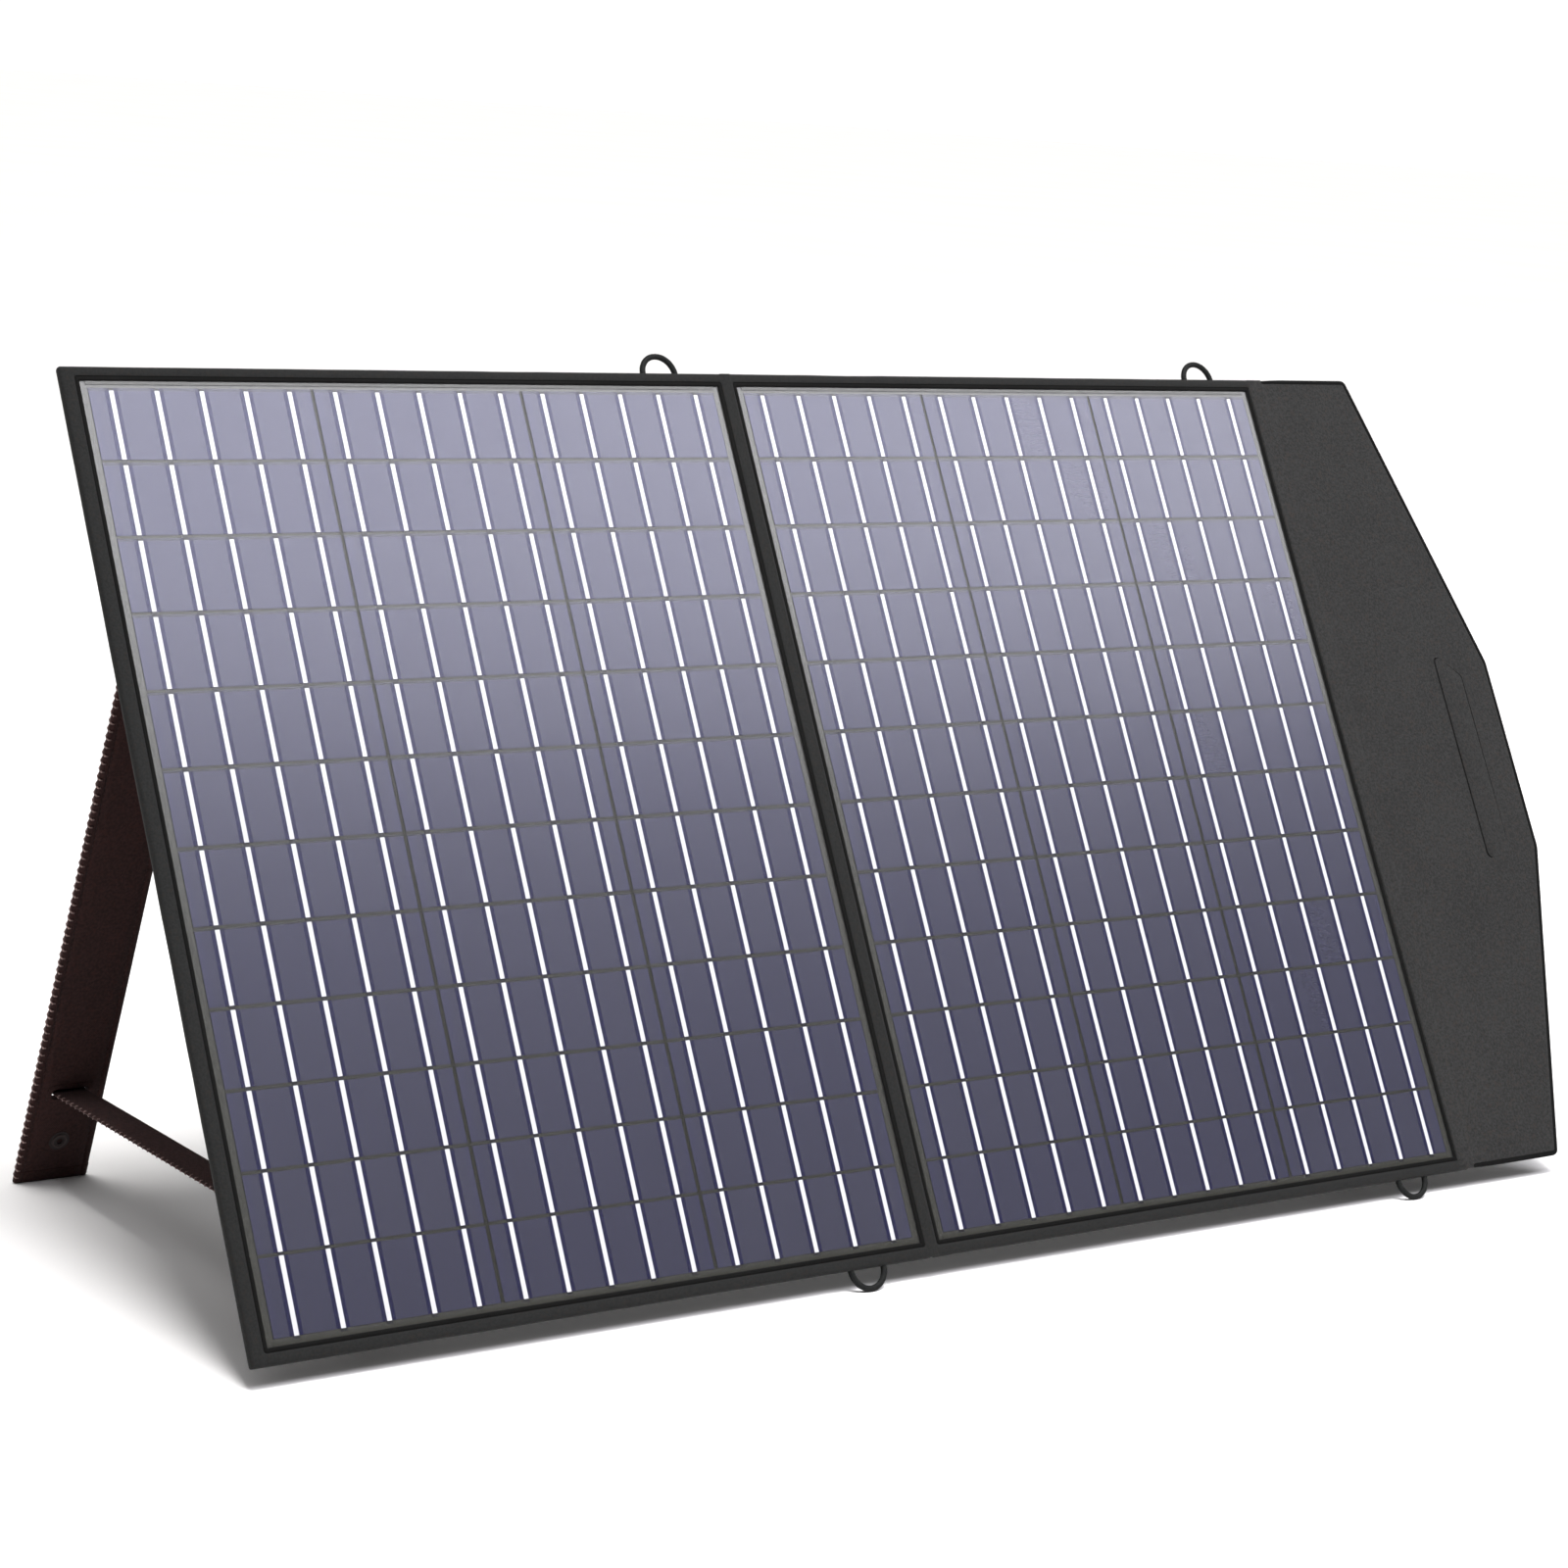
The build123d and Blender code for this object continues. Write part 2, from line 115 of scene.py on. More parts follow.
class Axes:
    """A flat frame on the object: u to the right, v up it and w out of its front face."""

    def __init__(self, origin, up):
        self.origin = Vector(origin)
        self.right = Vector((1, 0, 0))
        self.up = Vector(up).normalized()
        self.out = self.right.cross(self.up)

    def at(self, u, v, w):
        return self.origin + self.right * u + self.up * v + self.out * w

    def points(self, node):
        """The node's vertices as (u, v, w)."""
        gaps = [vertex.co - self.origin for vertex in frame["nodes"][node].data.vertices]
        return [(gap.dot(self.right), gap.dot(self.up), gap.dot(self.out)) for gap in gaps]

    def span(self, node):
        """Lowest and highest value of a node along u, v and w."""
        return [(min(values), max(values)) for values in zip(*self.points(node))]

    def outline(self, node):
        """The node's convex outline as (u, v) points in order."""
        flat = [(u, v) for u, v, w in self.points(node)]
        return [flat[i] for i in geometry.convex_hull_2d([Vector(p) for p in flat])]


def panel_axes():
    joint = JOINTS["panel_fold"]
    rough = Axes(joint["pos_m"], joint["axis"])
    v, w = rough.span("left_front_bezel")[1:]
    return Axes(rough.at(0, v[0], w[1]), joint["axis"])


def leg_axes(side):
    """Frame of a leg: v is 0 on the hinge axis and w is 0 on the leg's front face."""
    joint = JOINTS[f"{side}_leg_fold"]
    turn = Matrix.Rotation(-math.radians(joint["range_deg"][1]), 3, Vector(joint["axis"]))
    return Axes(joint["pos_m"], turn @ PANEL.up)


PANEL = panel_axes()
LEGS = {side: leg_axes(side) for side in SIDES}


# ---- mesh tools ----


def mesh_object(name, places, faces, materials, skins=None, sharp=40):
    """A new object from points in the row frame, shaded smooth except at sharp corners."""
    mesh = bpy.data.meshes.new(name)
    mesh.from_pydata([tuple(place) for place in places], [], faces)
    for material in materials:
        mesh.materials.append(material)
    if skins:
        mesh.polygons.foreach_set("material_index", skins)
    shell = bmesh.new()
    shell.from_mesh(mesh)
    bmesh.ops.remove_doubles(shell, verts=shell.verts, dist=1e-7)
    bmesh.ops.recalc_face_normals(shell, faces=shell.faces)
    shell.to_mesh(mesh)
    shell.free()
    mesh.shade_smooth()
    mesh.set_sharp_from_angle(angle=math.radians(sharp))
    piece = bpy.data.objects.new(name, mesh)
    bpy.context.scene.collection.objects.link(piece)
    return piece


def band_faces(here, there, count):
    """Quads between two rings of points, given the number of each ring's first point."""
    steps = [(k, (k + 1) % count) for k in range(count)]
    return [(here + a, here + b, there + b, there + a) for a, b in steps]


def loft(name, rings, materials, closed=False, skin_of=None, sharp=40):
    """A skin through rings of points, capped at both ends unless it closes on itself."""
    count = len(rings[0])
    places = [place for ring in rings for place in ring]
    faces = []
    skins = []
    last = len(rings) if closed else len(rings) - 1
    for i in range(last):
        faces.extend(band_faces(i * count, (i + 1) % len(rings) * count, count))
        skins.extend([skin_of(i) if skin_of else 0] * count)
    if not closed:
        faces.append(tuple(range(count)))
        faces.append(tuple(range((len(rings) - 1) * count, len(rings) * count)))
        skins.extend([0, 0])
    return mesh_object(name, places, faces, materials, skins, sharp)


def slab(name, columns, rows, place, materials, sharp=40):
    """A thin closed sheet on a grid: place(i, j, 0) is its front and place(i, j, 1) its back."""
    places = []
    faces = []
    for face in (0, 1):
        places.extend(place(i, j, face) for i in range(columns) for j in range(rows))
    step = columns * rows
    for base in (0, step):
        for i in range(columns - 1):
            for j in range(rows - 1):
                a = base + i * rows + j
                faces.append((a, a + rows, a + rows + 1, a + 1))
    rim = [i * rows for i in range(columns)]
    rim += [(columns - 1) * rows + j for j in range(1, rows)]
    rim += [i * rows + rows - 1 for i in range(columns - 2, -1, -1)]
    rim += [j for j in range(rows - 2, 0, -1)]
    for a, b in zip(rim, rim[1:] + rim[:1]):
        faces.append((a, b, b + step, a + step))
    return mesh_object(name, places, faces, materials, None, sharp)


def rounded(path, radius, steps=5):
    """The path with each inner corner turned into a short arc."""
    smooth = [path[0]]
    for before, corner, after in zip(path, path[1:], path[2:]):
        back = before - corner
        ahead = after - corner
        reach = min(radius, back.length * 0.45, ahead.length * 0.45)
        start = corner + back.normalized() * reach
        end = corner + ahead.normalized() * reach
        for i in range(steps + 1):
            t = i / steps
            smooth.append(start.lerp(corner, t).lerp(corner.lerp(end, t), t))
    return smooth + [path[-1]]


def resampled(path, spacing):
    """Points along the path that are no further apart than the spacing."""
    fine = [path[0]]
    for a, b in zip(path, path[1:]):
        count = max(1, math.ceil((b - a).length / spacing))
        fine.extend(a.lerp(b, i / count) for i in range(1, count + 1))
    return fine


def stations(path, side, closed=False):
    """(point, along, square) for each point of a path that bends at right angles to side."""
    count = len(path)
    found = []
    for i, point in enumerate(path):
        before = path[i - 1] if i or closed else path[i]
        after = path[(i + 1) % count] if i + 1 < count or closed else path[i]
        along = (after - before).normalized()
        found.append((point, along, along.cross(side).normalized()))
    return found


def carried(path, profile, side, closed=False):
    """Rings of the (side, square) profile at each point of a path."""
    places = stations(path, side, closed)
    return [[point + side * a + square * b for a, b in profile] for point, along, square in places]


def sweep(name, path, profile, side, materials, sharp=40):
    """A profile of (side, square) points carried along a path, with soft ends."""
    rings = []
    places = stations(path, side)
    reach = max(abs(b) for a, b in profile)
    ends = [(0, 0.55), (1, 0.85), (-2, 0.85), (-1, 0.55)]
    sizes = {place % len(places): size for place, size in ends}
    for i, (point, along, square) in enumerate(places):
        thin = sizes.get(i, 1.0)
        narrow = 1 - (1 - thin) * reach * 60
        rings.append([point + side * a * narrow + square * b * thin for a, b in profile])
    return loft(name, rings, materials, sharp=sharp)


def oval(half_side, half_square, power=3.0, count=20):
    """A rounded oblong profile."""
    points = []
    for i in range(count):
        angle = 2 * math.pi * i / count
        c, s = math.cos(angle), math.sin(angle)
        a = math.copysign(abs(c) ** (2 / power), c) * half_side
        b = math.copysign(abs(s) ** (2 / power), s) * half_square
        points.append((a, b))
    return points


def threads(name, runs, radius, material, sides=6):
    """Many short threads in one piece: each run is a list of points."""
    places = []
    faces = []
    for run in runs:
        base = len(places)
        for i, point in enumerate(run):
            along = (run[min(i + 1, len(run) - 1)] - run[max(i - 1, 0)]).normalized()
            first = along.orthogonal().normalized()
            second = along.cross(first)
            size = radius * (0.45 if i in (0, len(run) - 1) else 1.0)
            for k in range(sides):
                angle = 2 * math.pi * k / sides
                places.append(point + (first * math.cos(angle) + second * math.sin(angle)) * size)
        for here in range(base, base + (len(run) - 1) * sides, sides):
            faces.extend(band_faces(here, here + sides, sides))
        faces.append(tuple(base + k for k in range(sides)))
        last = base + (len(run) - 1) * sides
        faces.append(tuple(last + k for k in range(sides)))
    return mesh_object(name, places, faces, [material], None, 80)


def stitch_line(start, end, lift, sink):
    """Running stitches from start to end: threads that rise out of the cloth and go back in."""
    length = (end - start).length
    along = (end - start).normalized()
    count = max(1, int(length / STITCH_PITCH))
    runs = []
    for i in range(count):
        middle = start + along * (length * (i + 0.5) / count)
        half = along * STITCH_LENGTH / 2
        runs.append(
            [
                middle - half - lift * sink,
                middle - half * 0.75 + lift * 0.6,
                middle + lift,
                middle + half * 0.75 + lift * 0.6,
                middle + half - lift * sink,
            ]
        )
    return runs


def sewn_box(name, axes, box, w, material, rise=STITCH_RISE, sink=STITCH_SINK, crossed=True):
    """Stitches round a (u0, u1, v0, v1) box on the back of axes, and corner to corner if crossed."""
    u0, u1, v0, v1 = box
    corners = [(u0, v0), (u1, v0), (u1, v1), (u0, v1)]
    lines = list(zip(corners, corners[1:] + corners[:1]))
    if crossed:
        lines += [(corners[0], corners[2]), (corners[1], corners[3])]
    runs = []
    for a, b in lines:
        runs.extend(stitch_line(axes.at(*a, w), axes.at(*b, w), axes.out * -rise, sink))
    return threads(name, runs, FINE_THREAD_R, material)


def whip_runs(places, side, half, thick, pitch_lean, inset):
    """Slanted stitches that wrap over one edge of a strip."""
    runs = []
    for point, along, square in places:
        lean = along * pitch_lean
        edge = side * half
        near = side * (half - inset)
        outer = near.lerp(edge, 0.75)
        runs.append(
            [
                point + near * 0.985 + square * (thick * 0.3),
                point + near + square * thick,
                point + outer + square * thick + lean,
                point + edge + lean * 1.15,
                point + outer - square * thick + lean * 1.15,
                point + near - square * thick + lean * 1.15,
                point + near * 0.985 - square * (thick * 0.3) + lean * 1.15,
            ]
        )
    return runs


def spaced(path, side, pitch):
    """Stations at an even pitch along a path."""
    found = []
    travelled = pitch / 2
    for a, b in zip(path, path[1:]):
        length = (b - a).length
        along = (b - a).normalized()
        while travelled < length:
            found.append((a + along * travelled, along, along.cross(side).normalized()))
            travelled += pitch
        travelled -= length
    return found


def cut(piece, outline, axes, w0, w1):
    """Cuts a hole with the given (u, v) outline right through a piece."""
    rings = [[axes.at(u, v, w) for u, v in outline] for w in (w0, w1)]
    tool = loft(piece.name + "_cutter", rings, [])
    modifier = piece.modifiers.new("hole", "BOOLEAN")
    modifier.operation = "DIFFERENCE"
    modifier.solver = "EXACT"
    modifier.object = tool
    bpy.context.view_layer.update()
    graph = bpy.context.evaluated_depsgraph_get()
    mesh = bpy.data.meshes.new_from_object(piece.evaluated_get(graph))
    piece.modifiers.clear()
    piece.data = mesh
    bpy.data.objects.remove(tool)
    mesh.shade_smooth()
    mesh.set_sharp_from_angle(angle=math.radians(40))
    return piece


def wander(u, v, size=EDGE_WANDER, wave=0.07, seed=0.0):
    """A small smooth wave over the cloth, the same at each run."""
    return noise.noise(Vector((u / wave, v / wave, seed))) * size


def spread(low, high, count):
    return [low + (high - low) * i / (count - 1) for i in range(count)]


def finish_piece(piece, body, slot, *replaced):
    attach(piece, body)
    if replaced:
        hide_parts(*replaced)
    return piece


def bend_piece(piece, bodies, ends, slot, *replaced):
    if replaced:
        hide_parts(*replaced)
    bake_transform(piece)
    return piece


# ---- materials ----


class Surface:
    """A material with a Principled shader and short ways to add nodes."""

    def __init__(self, name, roughness, metallic=0.0):
        self.material = bpy.data.materials.new(name)
        self.material.use_nodes = True
        self.tree = self.material.node_tree
        self.shader = self.tree.nodes["Principled BSDF"]
        self.fix("Roughness", roughness)
        self.fix("Metallic", metallic)
        coordinates = self.tree.nodes.new("ShaderNodeTexCoord")
        self.place = coordinates.outputs["Object"]

    def wire(self, source, socket):
        self.tree.links.new(source, socket)

    def math(self, operation, *values):
        node = self.tree.nodes.new("ShaderNodeMath")
        node.operation = operation
        for socket, value in zip(node.inputs, values):
            if isinstance(value, (int, float)):
                socket.default_value = value
            else:
                self.wire(value, socket)
        return node.outputs[0]

    def product(self, first, second):
        return self.math("MULTIPLY", first, second)

    def along(self, direction, origin=None):
        """Distance along a direction from an origin, in metres."""
        node = self.tree.nodes.new("ShaderNodeVectorMath")
        node.operation = "DOT_PRODUCT"
        self.wire(self.place, node.inputs[0])
        node.inputs[1].default_value = direction
        start = origin.dot(direction) if origin else 0.0
        return self.math("SUBTRACT", node.outputs["Value"], start)

    def noise(self, scale, detail=3.0, stretch=None):
        node = self.tree.nodes.new("ShaderNodeTexNoise")
        node.inputs["Scale"].default_value = scale
        node.inputs["Detail"].default_value = detail
        source = self.place
        if stretch:
            mapping = self.tree.nodes.new("ShaderNodeMapping")
            mapping.inputs["Scale"].default_value = stretch
            self.wire(source, mapping.inputs["Vector"])
            source = mapping.outputs["Vector"]
        self.wire(source, node.inputs["Vector"])
        return node.outputs["Fac"]

    def ranged(self, value, low, high, to_low, to_high, smooth=True):
        node = self.tree.nodes.new("ShaderNodeMapRange")
        node.interpolation_type = "SMOOTHSTEP" if smooth else "LINEAR"
        self.wire(value, node.inputs["Value"])
        node.inputs["From Min"].default_value = low
        node.inputs["From Max"].default_value = high
        node.inputs["To Min"].default_value = to_low
        node.inputs["To Max"].default_value = to_high
        return node.outputs["Result"]

    def mixed(self, factor, first, second):
        node = self.tree.nodes.new("ShaderNodeMix")
        node.data_type = "RGBA"
        self.wire(factor, node.inputs["Factor"])
        for socket, colour in ((node.inputs["A"], first), (node.inputs["B"], second)):
            if isinstance(colour, tuple):
                socket.default_value = (*colour, 1.0)
            else:
                self.wire(colour, socket)
        return node.outputs["Result"]

    def blended(self, value, low, high, first, second):
        """The first colour up to the low value, the second from the high one."""
        return self.mixed(self.ranged(value, low, high, 0.0, 1.0), first, second)

    def fix(self, socket, value):
        self.shader.inputs[socket].default_value = value

    def colour(self, source):
        if isinstance(source, tuple):
            self.fix("Base Color", (*source, 1.0))
        else:
            self.wire(source, self.shader.inputs["Base Color"])

    def rough(self, source):
        self.wire(source, self.shader.inputs["Roughness"])

    def bump(self, height, depth, strength=1.0):
        node = self.tree.nodes.new("ShaderNodeBump")
        node.inputs["Distance"].default_value = depth
        node.inputs["Strength"].default_value = strength
        self.wire(height, node.inputs["Height"])
        self.wire(node.outputs["Normal"], self.shader.inputs["Normal"])


def scaled(colour, factor):
    return tuple(min(1.0, channel * factor) for channel in colour)


def woven(name, colour, yarn=0.0009, axes=None, contrast=0.22, sheen=0.05, roughness=0.82, warm=1.0):
    """Woven cloth: crossing yarns, small colour changes between them and soft scuffs."""
    surface = Surface(name, roughness)
    axes = axes or PANEL
    turns = 2 * math.pi / yarn
    weft = surface.math("SINE", surface.product(surface.along(axes.right), turns))
    warp = surface.math("SINE", surface.product(surface.along(axes.up), turns))
    weave = surface.product(weft, warp)
    grain = surface.noise(1 / (yarn * 1.6), 2.0)
    patches = surface.noise(14.0, 4.0)
    tint = surface.noise(1 / (yarn * 3.2), 1.0)
    light = surface.math("ADD", surface.product(grain, 0.75), surface.product(patches, 0.35))
    dark_yarn = scaled(colour, 1 - contrast * 2)
    pale_yarn = scaled(colour, 1 + contrast * 2)
    base = surface.blended(light, 0.3, 0.8, dark_yarn, pale_yarn)
    warm_yarn = (colour[0] * (1 + 0.35 * warm), colour[1] * 1.05, colour[2] * (1 - 0.1 * warm))
    base = surface.mixed(surface.ranged(tint, 0.52, 0.72, 0.0, 0.45), base, warm_yarn)
    surface.colour(base)
    surface.rough(surface.ranged(patches, 0.3, 0.7, roughness - 0.07, roughness + 0.07))
    height = surface.math("ADD", surface.product(weave, 0.4), grain)
    surface.bump(height, 0.0002, 0.7)
    surface.fix("Sheen Weight", sheen)
    surface.fix("Sheen Roughness", 0.45)
    surface.fix("Specular IOR Level", 0.12)
    return surface.material


def moulded(name, colour, roughness=0.5):
    """Moulded plastic with a fine spark-eroded grain and slight sheen changes."""
    surface = Surface(name, roughness)
    fine = surface.noise(2600.0, 2.0)
    broad = surface.noise(35.0, 4.0)
    surface.colour(surface.blended(broad, 0.3, 0.7, scaled(colour, 0.8), scaled(colour, 1.25)))
    surface.rough(surface.ranged(broad, 0.3, 0.7, roughness - 0.08, roughness + 0.1))
    surface.bump(fine, 0.00006, 0.6)
    return surface.material


def metal(name, colour, roughness=0.32):
    """Pressed metal with brushed streaks and small dull spots."""
    surface = Surface(name, roughness, 1.0)
    streaks = surface.noise(900.0, 3.0, (1.0, 0.15, 0.15))
    spots = surface.noise(160.0, 4.0)
    surface.colour(surface.blended(spots, 0.35, 0.7, colour, scaled(colour, 0.65)))
    surface.rough(surface.ranged(spots, 0.3, 0.7, roughness - 0.08, roughness + 0.15))
    surface.bump(streaks, 0.00003, 0.5)
    return surface.material


def foam(name, colour):
    """Closed-cell foam or board core with small pores."""
    surface = Surface(name, 0.95)
    pores = surface.tree.nodes.new("ShaderNodeTexVoronoi")
    pores.inputs["Scale"].default_value = 900.0
    surface.wire(surface.place, pores.inputs["Vector"])
    distance = pores.outputs["Distance"]
    surface.colour(surface.blended(distance, 0.1, 0.6, scaled(colour, 0.6), colour))
    surface.bump(distance, 0.0002, 0.6)
    return surface.material


def snap_metal(side):
    """Painted snap: dark brown, worn a little lighter on its rings."""
    surface = Surface(f"{side}_snap_paint", 0.55)
    u, v = LEGS[side].span(f"{side}_leg_snap")[:2]
    centre = LEGS[side].at((u[0] + u[1]) / 2, (v[0] + v[1]) / 2, 0)
    across = surface.along(LEGS[side].right, centre)
    upward = surface.along(LEGS[side].up, centre)
    squares = [surface.product(value, value) for value in (across, upward)]
    radius = surface.math("SQRT", surface.math("ADD", *squares))
    reach = (u[1] - u[0]) / 2
    wave = surface.math("SINE", surface.product(radius, 2 * math.pi / (reach * 0.5)))
    worn = surface.product(surface.ranged(wave, 0.2, 0.9, 0, 1), surface.noise(700.0, 3.0))
    surface.colour(surface.mixed(worn, (0.014, 0.007, 0.0065), (0.070, 0.040, 0.037)))
    surface.bump(wave, 0.0002, 0.8)
    return surface.material


def laminate_gloss(surface):
    """The soft shine of the textured film, which lies over cells, ribbons and backsheet alike."""
    surface.fix("Specular IOR Level", 0.1)
    surface.fix("Coat Weight", GLOSS)
    surface.fix("Coat Roughness", GLOSS_ROUGHNESS)
    surface.fix("Coat IOR", 1.6)


GLOSS = 1.0
GLOSS_ROUGHNESS = 0.23
CELL_BLUE = (0.030, 0.030, 0.050)
CELL_EDGE = (0.029, 0.029, 0.056)
# dark blue for cells that are darker at random, and for the painted shade beside each ribbon
CELL_DARK_AND_RIBBON_SHADE = (0.0010, 0.0008, 0.030)
CELL_SHEEN_TINT = (0.45, 0.45, 1.0, 1.0)
RIBBON_WHITE = (0.72, 0.72, 0.74)
SHEET_OLIVE = (0.027, 0.027, 0.020)
GAP_OLIVE = (0.020, 0.020, 0.014)
COLUMN_OLIVE = (0.010, 0.010, 0.004)
GAP_DARK = (0.006, 0.006, 0.007)
GAP_GLOSS = 0.75
COLUMN_GLOSS = 0.45
# less shine on the painted shade beside a ribbon and on the bare cell sides
RIBBON_SHADE_GLOSS = 0.66


def cell_grid(surface, side):
    """How far right of and above the cells' corner, and how far from a ribbon, column gap and row gap."""
    u, v = PANEL.span(f"{side}_solar_cells")[:2]
    origin = PANEL.at(u[0], v[0], 0)
    across = surface.along(PANEL.right, origin)
    upward = surface.along(PANEL.up, origin)
    in_cell = surface.product(surface.math("FRACT", surface.math("DIVIDE", across, CELL_PITCH)), CELL_PITCH)
    half_step = RIBBON_PITCH / 2
    from_ribbon = surface.math("PINGPONG", surface.math("SUBTRACT", in_cell, half_step), half_step)
    from_column = surface.math("PINGPONG", surface.math("ADD", across, GAP_HALF), CELL_PITCH / 2)
    from_row = surface.math("PINGPONG", surface.math("ADD", upward, GAP_HALF), CELL_ROW_PITCH / 2)
    return across, upward, from_ribbon, from_column, from_row


def within(surface, distance, reach):
    """1 up to the reach and 0 beyond it, with a fine soft step."""
    return surface.ranged(distance, reach, reach + 0.0003, 1, 0)


def silicon(side):
    """Cell face: blue-violet silicon with a painted shade beside each soldered ribbon."""
    surface = Surface(f"{side}_silicon", 0.27)
    across, upward, from_ribbon, from_column, from_row = cell_grid(surface, side)
    column = surface.math("FLOOR", surface.math("DIVIDE", across, CELL_PITCH))
    row = surface.math("FLOOR", surface.math("DIVIDE", upward, CELL_ROW_PITCH))
    cell_id = surface.tree.nodes.new("ShaderNodeTexWhiteNoise")
    cell_id.noise_dimensions = "2D"
    pair = surface.tree.nodes.new("ShaderNodeCombineXYZ")
    surface.wire(column, pair.inputs[0])
    surface.wire(row, pair.inputs[1])
    surface.wire(pair.outputs[0], cell_id.inputs["Vector"])
    body = surface.blended(from_column, *COLUMN_TINT, CELL_EDGE, CELL_BLUE)
    grains = surface.noise(260.0, 1.0)
    body = surface.mixed(surface.ranged(grains, 0.35, 0.65, 0.0, 0.16), body, CELL_EDGE)
    body = surface.mixed(surface.ranged(cell_id.outputs["Value"], 0.0, 1.0, 0.0, 0.14), body, CELL_DARK_AND_RIBBON_SHADE)
    # painted shade: a dark blue strip along both sides of every ribbon
    ribbon_shade = surface.ranged(from_ribbon, *RIBBON_SHADE_EDGE, 1.0, 0.0)
    face = surface.mixed(ribbon_shade, body, CELL_DARK_AND_RIBBON_SHADE)
    bare_side = within(surface, from_column, COLUMN_REACH)
    face = surface.mixed(within(surface, from_row, EDGE_REACH), face, GAP_OLIVE)
    surface.colour(surface.mixed(bare_side, face, COLUMN_OLIVE))
    fingers = surface.math("SINE", surface.product(upward, 2 * math.pi / FINGER_PITCH))
    surface.bump(fingers, 0.00002, 0.25)
    laminate_gloss(surface)
    dull = surface.math("MAXIMUM", ribbon_shade, bare_side)
    surface.wire(surface.ranged(dull, 0, 1, GLOSS, RIBBON_SHADE_GLOSS), surface.shader.inputs["Coat Weight"])
    surface.fix("Specular IOR Level", 0.35)
    surface.fix("Specular Tint", CELL_SHEEN_TINT)
    return surface.material


def backsheet(side):
    """The olive-grey sheet: darker where it shows between the cells than round them."""
    surface = Surface(f"{side}_backsheet", 0.45)
    u, v = PANEL.span(f"{side}_solar_cells")[:2]
    middle = PANEL.at((u[0] + u[1]) / 2, (v[0] + v[1]) / 2, 0)
    upward = surface.along(PANEL.up, middle)
    across = surface.along(PANEL.right, middle)
    half_u = (u[1] - u[0]) / 2
    half_v = (v[1] - v[0]) / 2
    beside = surface.ranged(surface.math("ABSOLUTE", across), half_u - 0.0003, half_u + 0.0003, 1, 0)
    above = surface.ranged(surface.math("ABSOLUTE", upward), half_v - 0.0003, half_v + 0.0003, 1, 0)
    between = surface.product(beside, above)
    from_ribbon = cell_grid(surface, side)[2]
    dark_spot = within(surface, from_ribbon, 0.0021)
    mottle = surface.noise(420.0, 3.0)
    base = surface.blended(mottle, 0.35, 0.65, scaled(SHEET_OLIVE, 0.8), scaled(SHEET_OLIVE, 1.2))
    in_column = within(surface, cell_grid(surface, side)[3], COLUMN_REACH)
    gap = surface.mixed(in_column, surface.mixed(dark_spot, GAP_OLIVE, GAP_DARK), COLUMN_OLIVE)
    below = surface.product(surface.ranged(upward, -half_v - 0.0020, -half_v - 0.0016, 0, 1), dark_spot)
    below = surface.product(below, surface.ranged(upward, -half_v, -half_v + 0.0003, 1, 0))
    surface.colour(surface.mixed(below, surface.mixed(between, base, gap), GAP_DARK))
    surface.bump(mottle, 0.00003, 0.3)
    laminate_gloss(surface)
    surface.fix("Coat IOR", 1.75)
    gloss = surface.ranged(between, 0, 1, GLOSS, GAP_GLOSS)
    column = surface.product(surface.product(between, in_column), GAP_GLOSS - COLUMN_GLOSS)
    surface.wire(surface.math("SUBTRACT", gloss, column), surface.shader.inputs["Coat Weight"])
    return surface.material


def ribbon_metal():
    """Tinned copper ribbon, bright white under the film; the end strips lie under masking tape."""
    surface = Surface("tinned_ribbon", 0.5)
    streaks = surface.noise(700.0, 3.0, (1.0, 0.06, 0.06))
    tinned = surface.blended(streaks, 0.3, 0.7, scaled(RIBBON_WHITE, 0.93), RIBBON_WHITE)
    v = PANEL.span("left_solar_cells")[1]
    upward = surface.along(PANEL.up, PANEL.at(0, (v[0] + v[1]) / 2, 0))
    reach = surface.math("ABSOLUTE", upward)
    half_v = (v[1] - v[0]) / 2
    past_cells = surface.ranged(reach, half_v + 0.0018, half_v + 0.0022, 0, 1)
    dips = within(surface, cell_grid(surface, "left")[4], SOLDER_REACH)
    soldered = surface.mixed(dips, tinned, GAP_DARK)
    surface.colour(surface.mixed(past_cells, soldered, SHEET_OLIVE))
    surface.bump(streaks, 0.00002, 0.3)
    laminate_gloss(surface)
    return surface.material


def clear_film():
    """Embossed clear film: nearly invisible, with fine dimples."""
    surface = Surface("clear_film", 0.35)
    dimples = surface.tree.nodes.new("ShaderNodeTexVoronoi")
    dimples.inputs["Scale"].default_value = 700.0
    surface.wire(surface.place, dimples.inputs["Vector"])
    surface.colour(surface.mixed(dimples.outputs["Distance"], (0.22, 0.22, 0.25), (0.30, 0.30, 0.33)))
    surface.bump(dimples.outputs["Distance"], 0.00002, 0.4)
    surface.fix("Alpha", 0.03)
    return surface.material


def braided(name, colour, sheen=0.15):
    """Braided cord yarns."""
    surface = Surface(name, 0.7)
    yarns = surface.noise(1500.0, 2.0, (1.0, 0.5, 0.5))
    surface.colour(surface.blended(yarns, 0.35, 0.65, scaled(colour, 0.6), scaled(colour, 1.5)))
    surface.bump(yarns, 0.0001, 0.7)
    surface.fix("Sheen Weight", sheen)
    surface.fix("Specular IOR Level", 0.15)
    return surface.material


CASE_GREY = (0.0145, 0.0149, 0.0146)
# painted shade: the cloth along the laminate's edge is this dark
LIP_SHADE_GREY = (0.0030, 0.0030, 0.0028)
RIM_DARK = (0.0022, 0.0022, 0.0021)
FLAP_GREY = (0.0215, 0.0215, 0.0212)
LEG_BROWN = (0.034, 0.0155, 0.0145)
STRAP_BROWN = (0.056, 0.029, 0.028)
THREAD_PINK = (0.28, 0.19, 0.175)

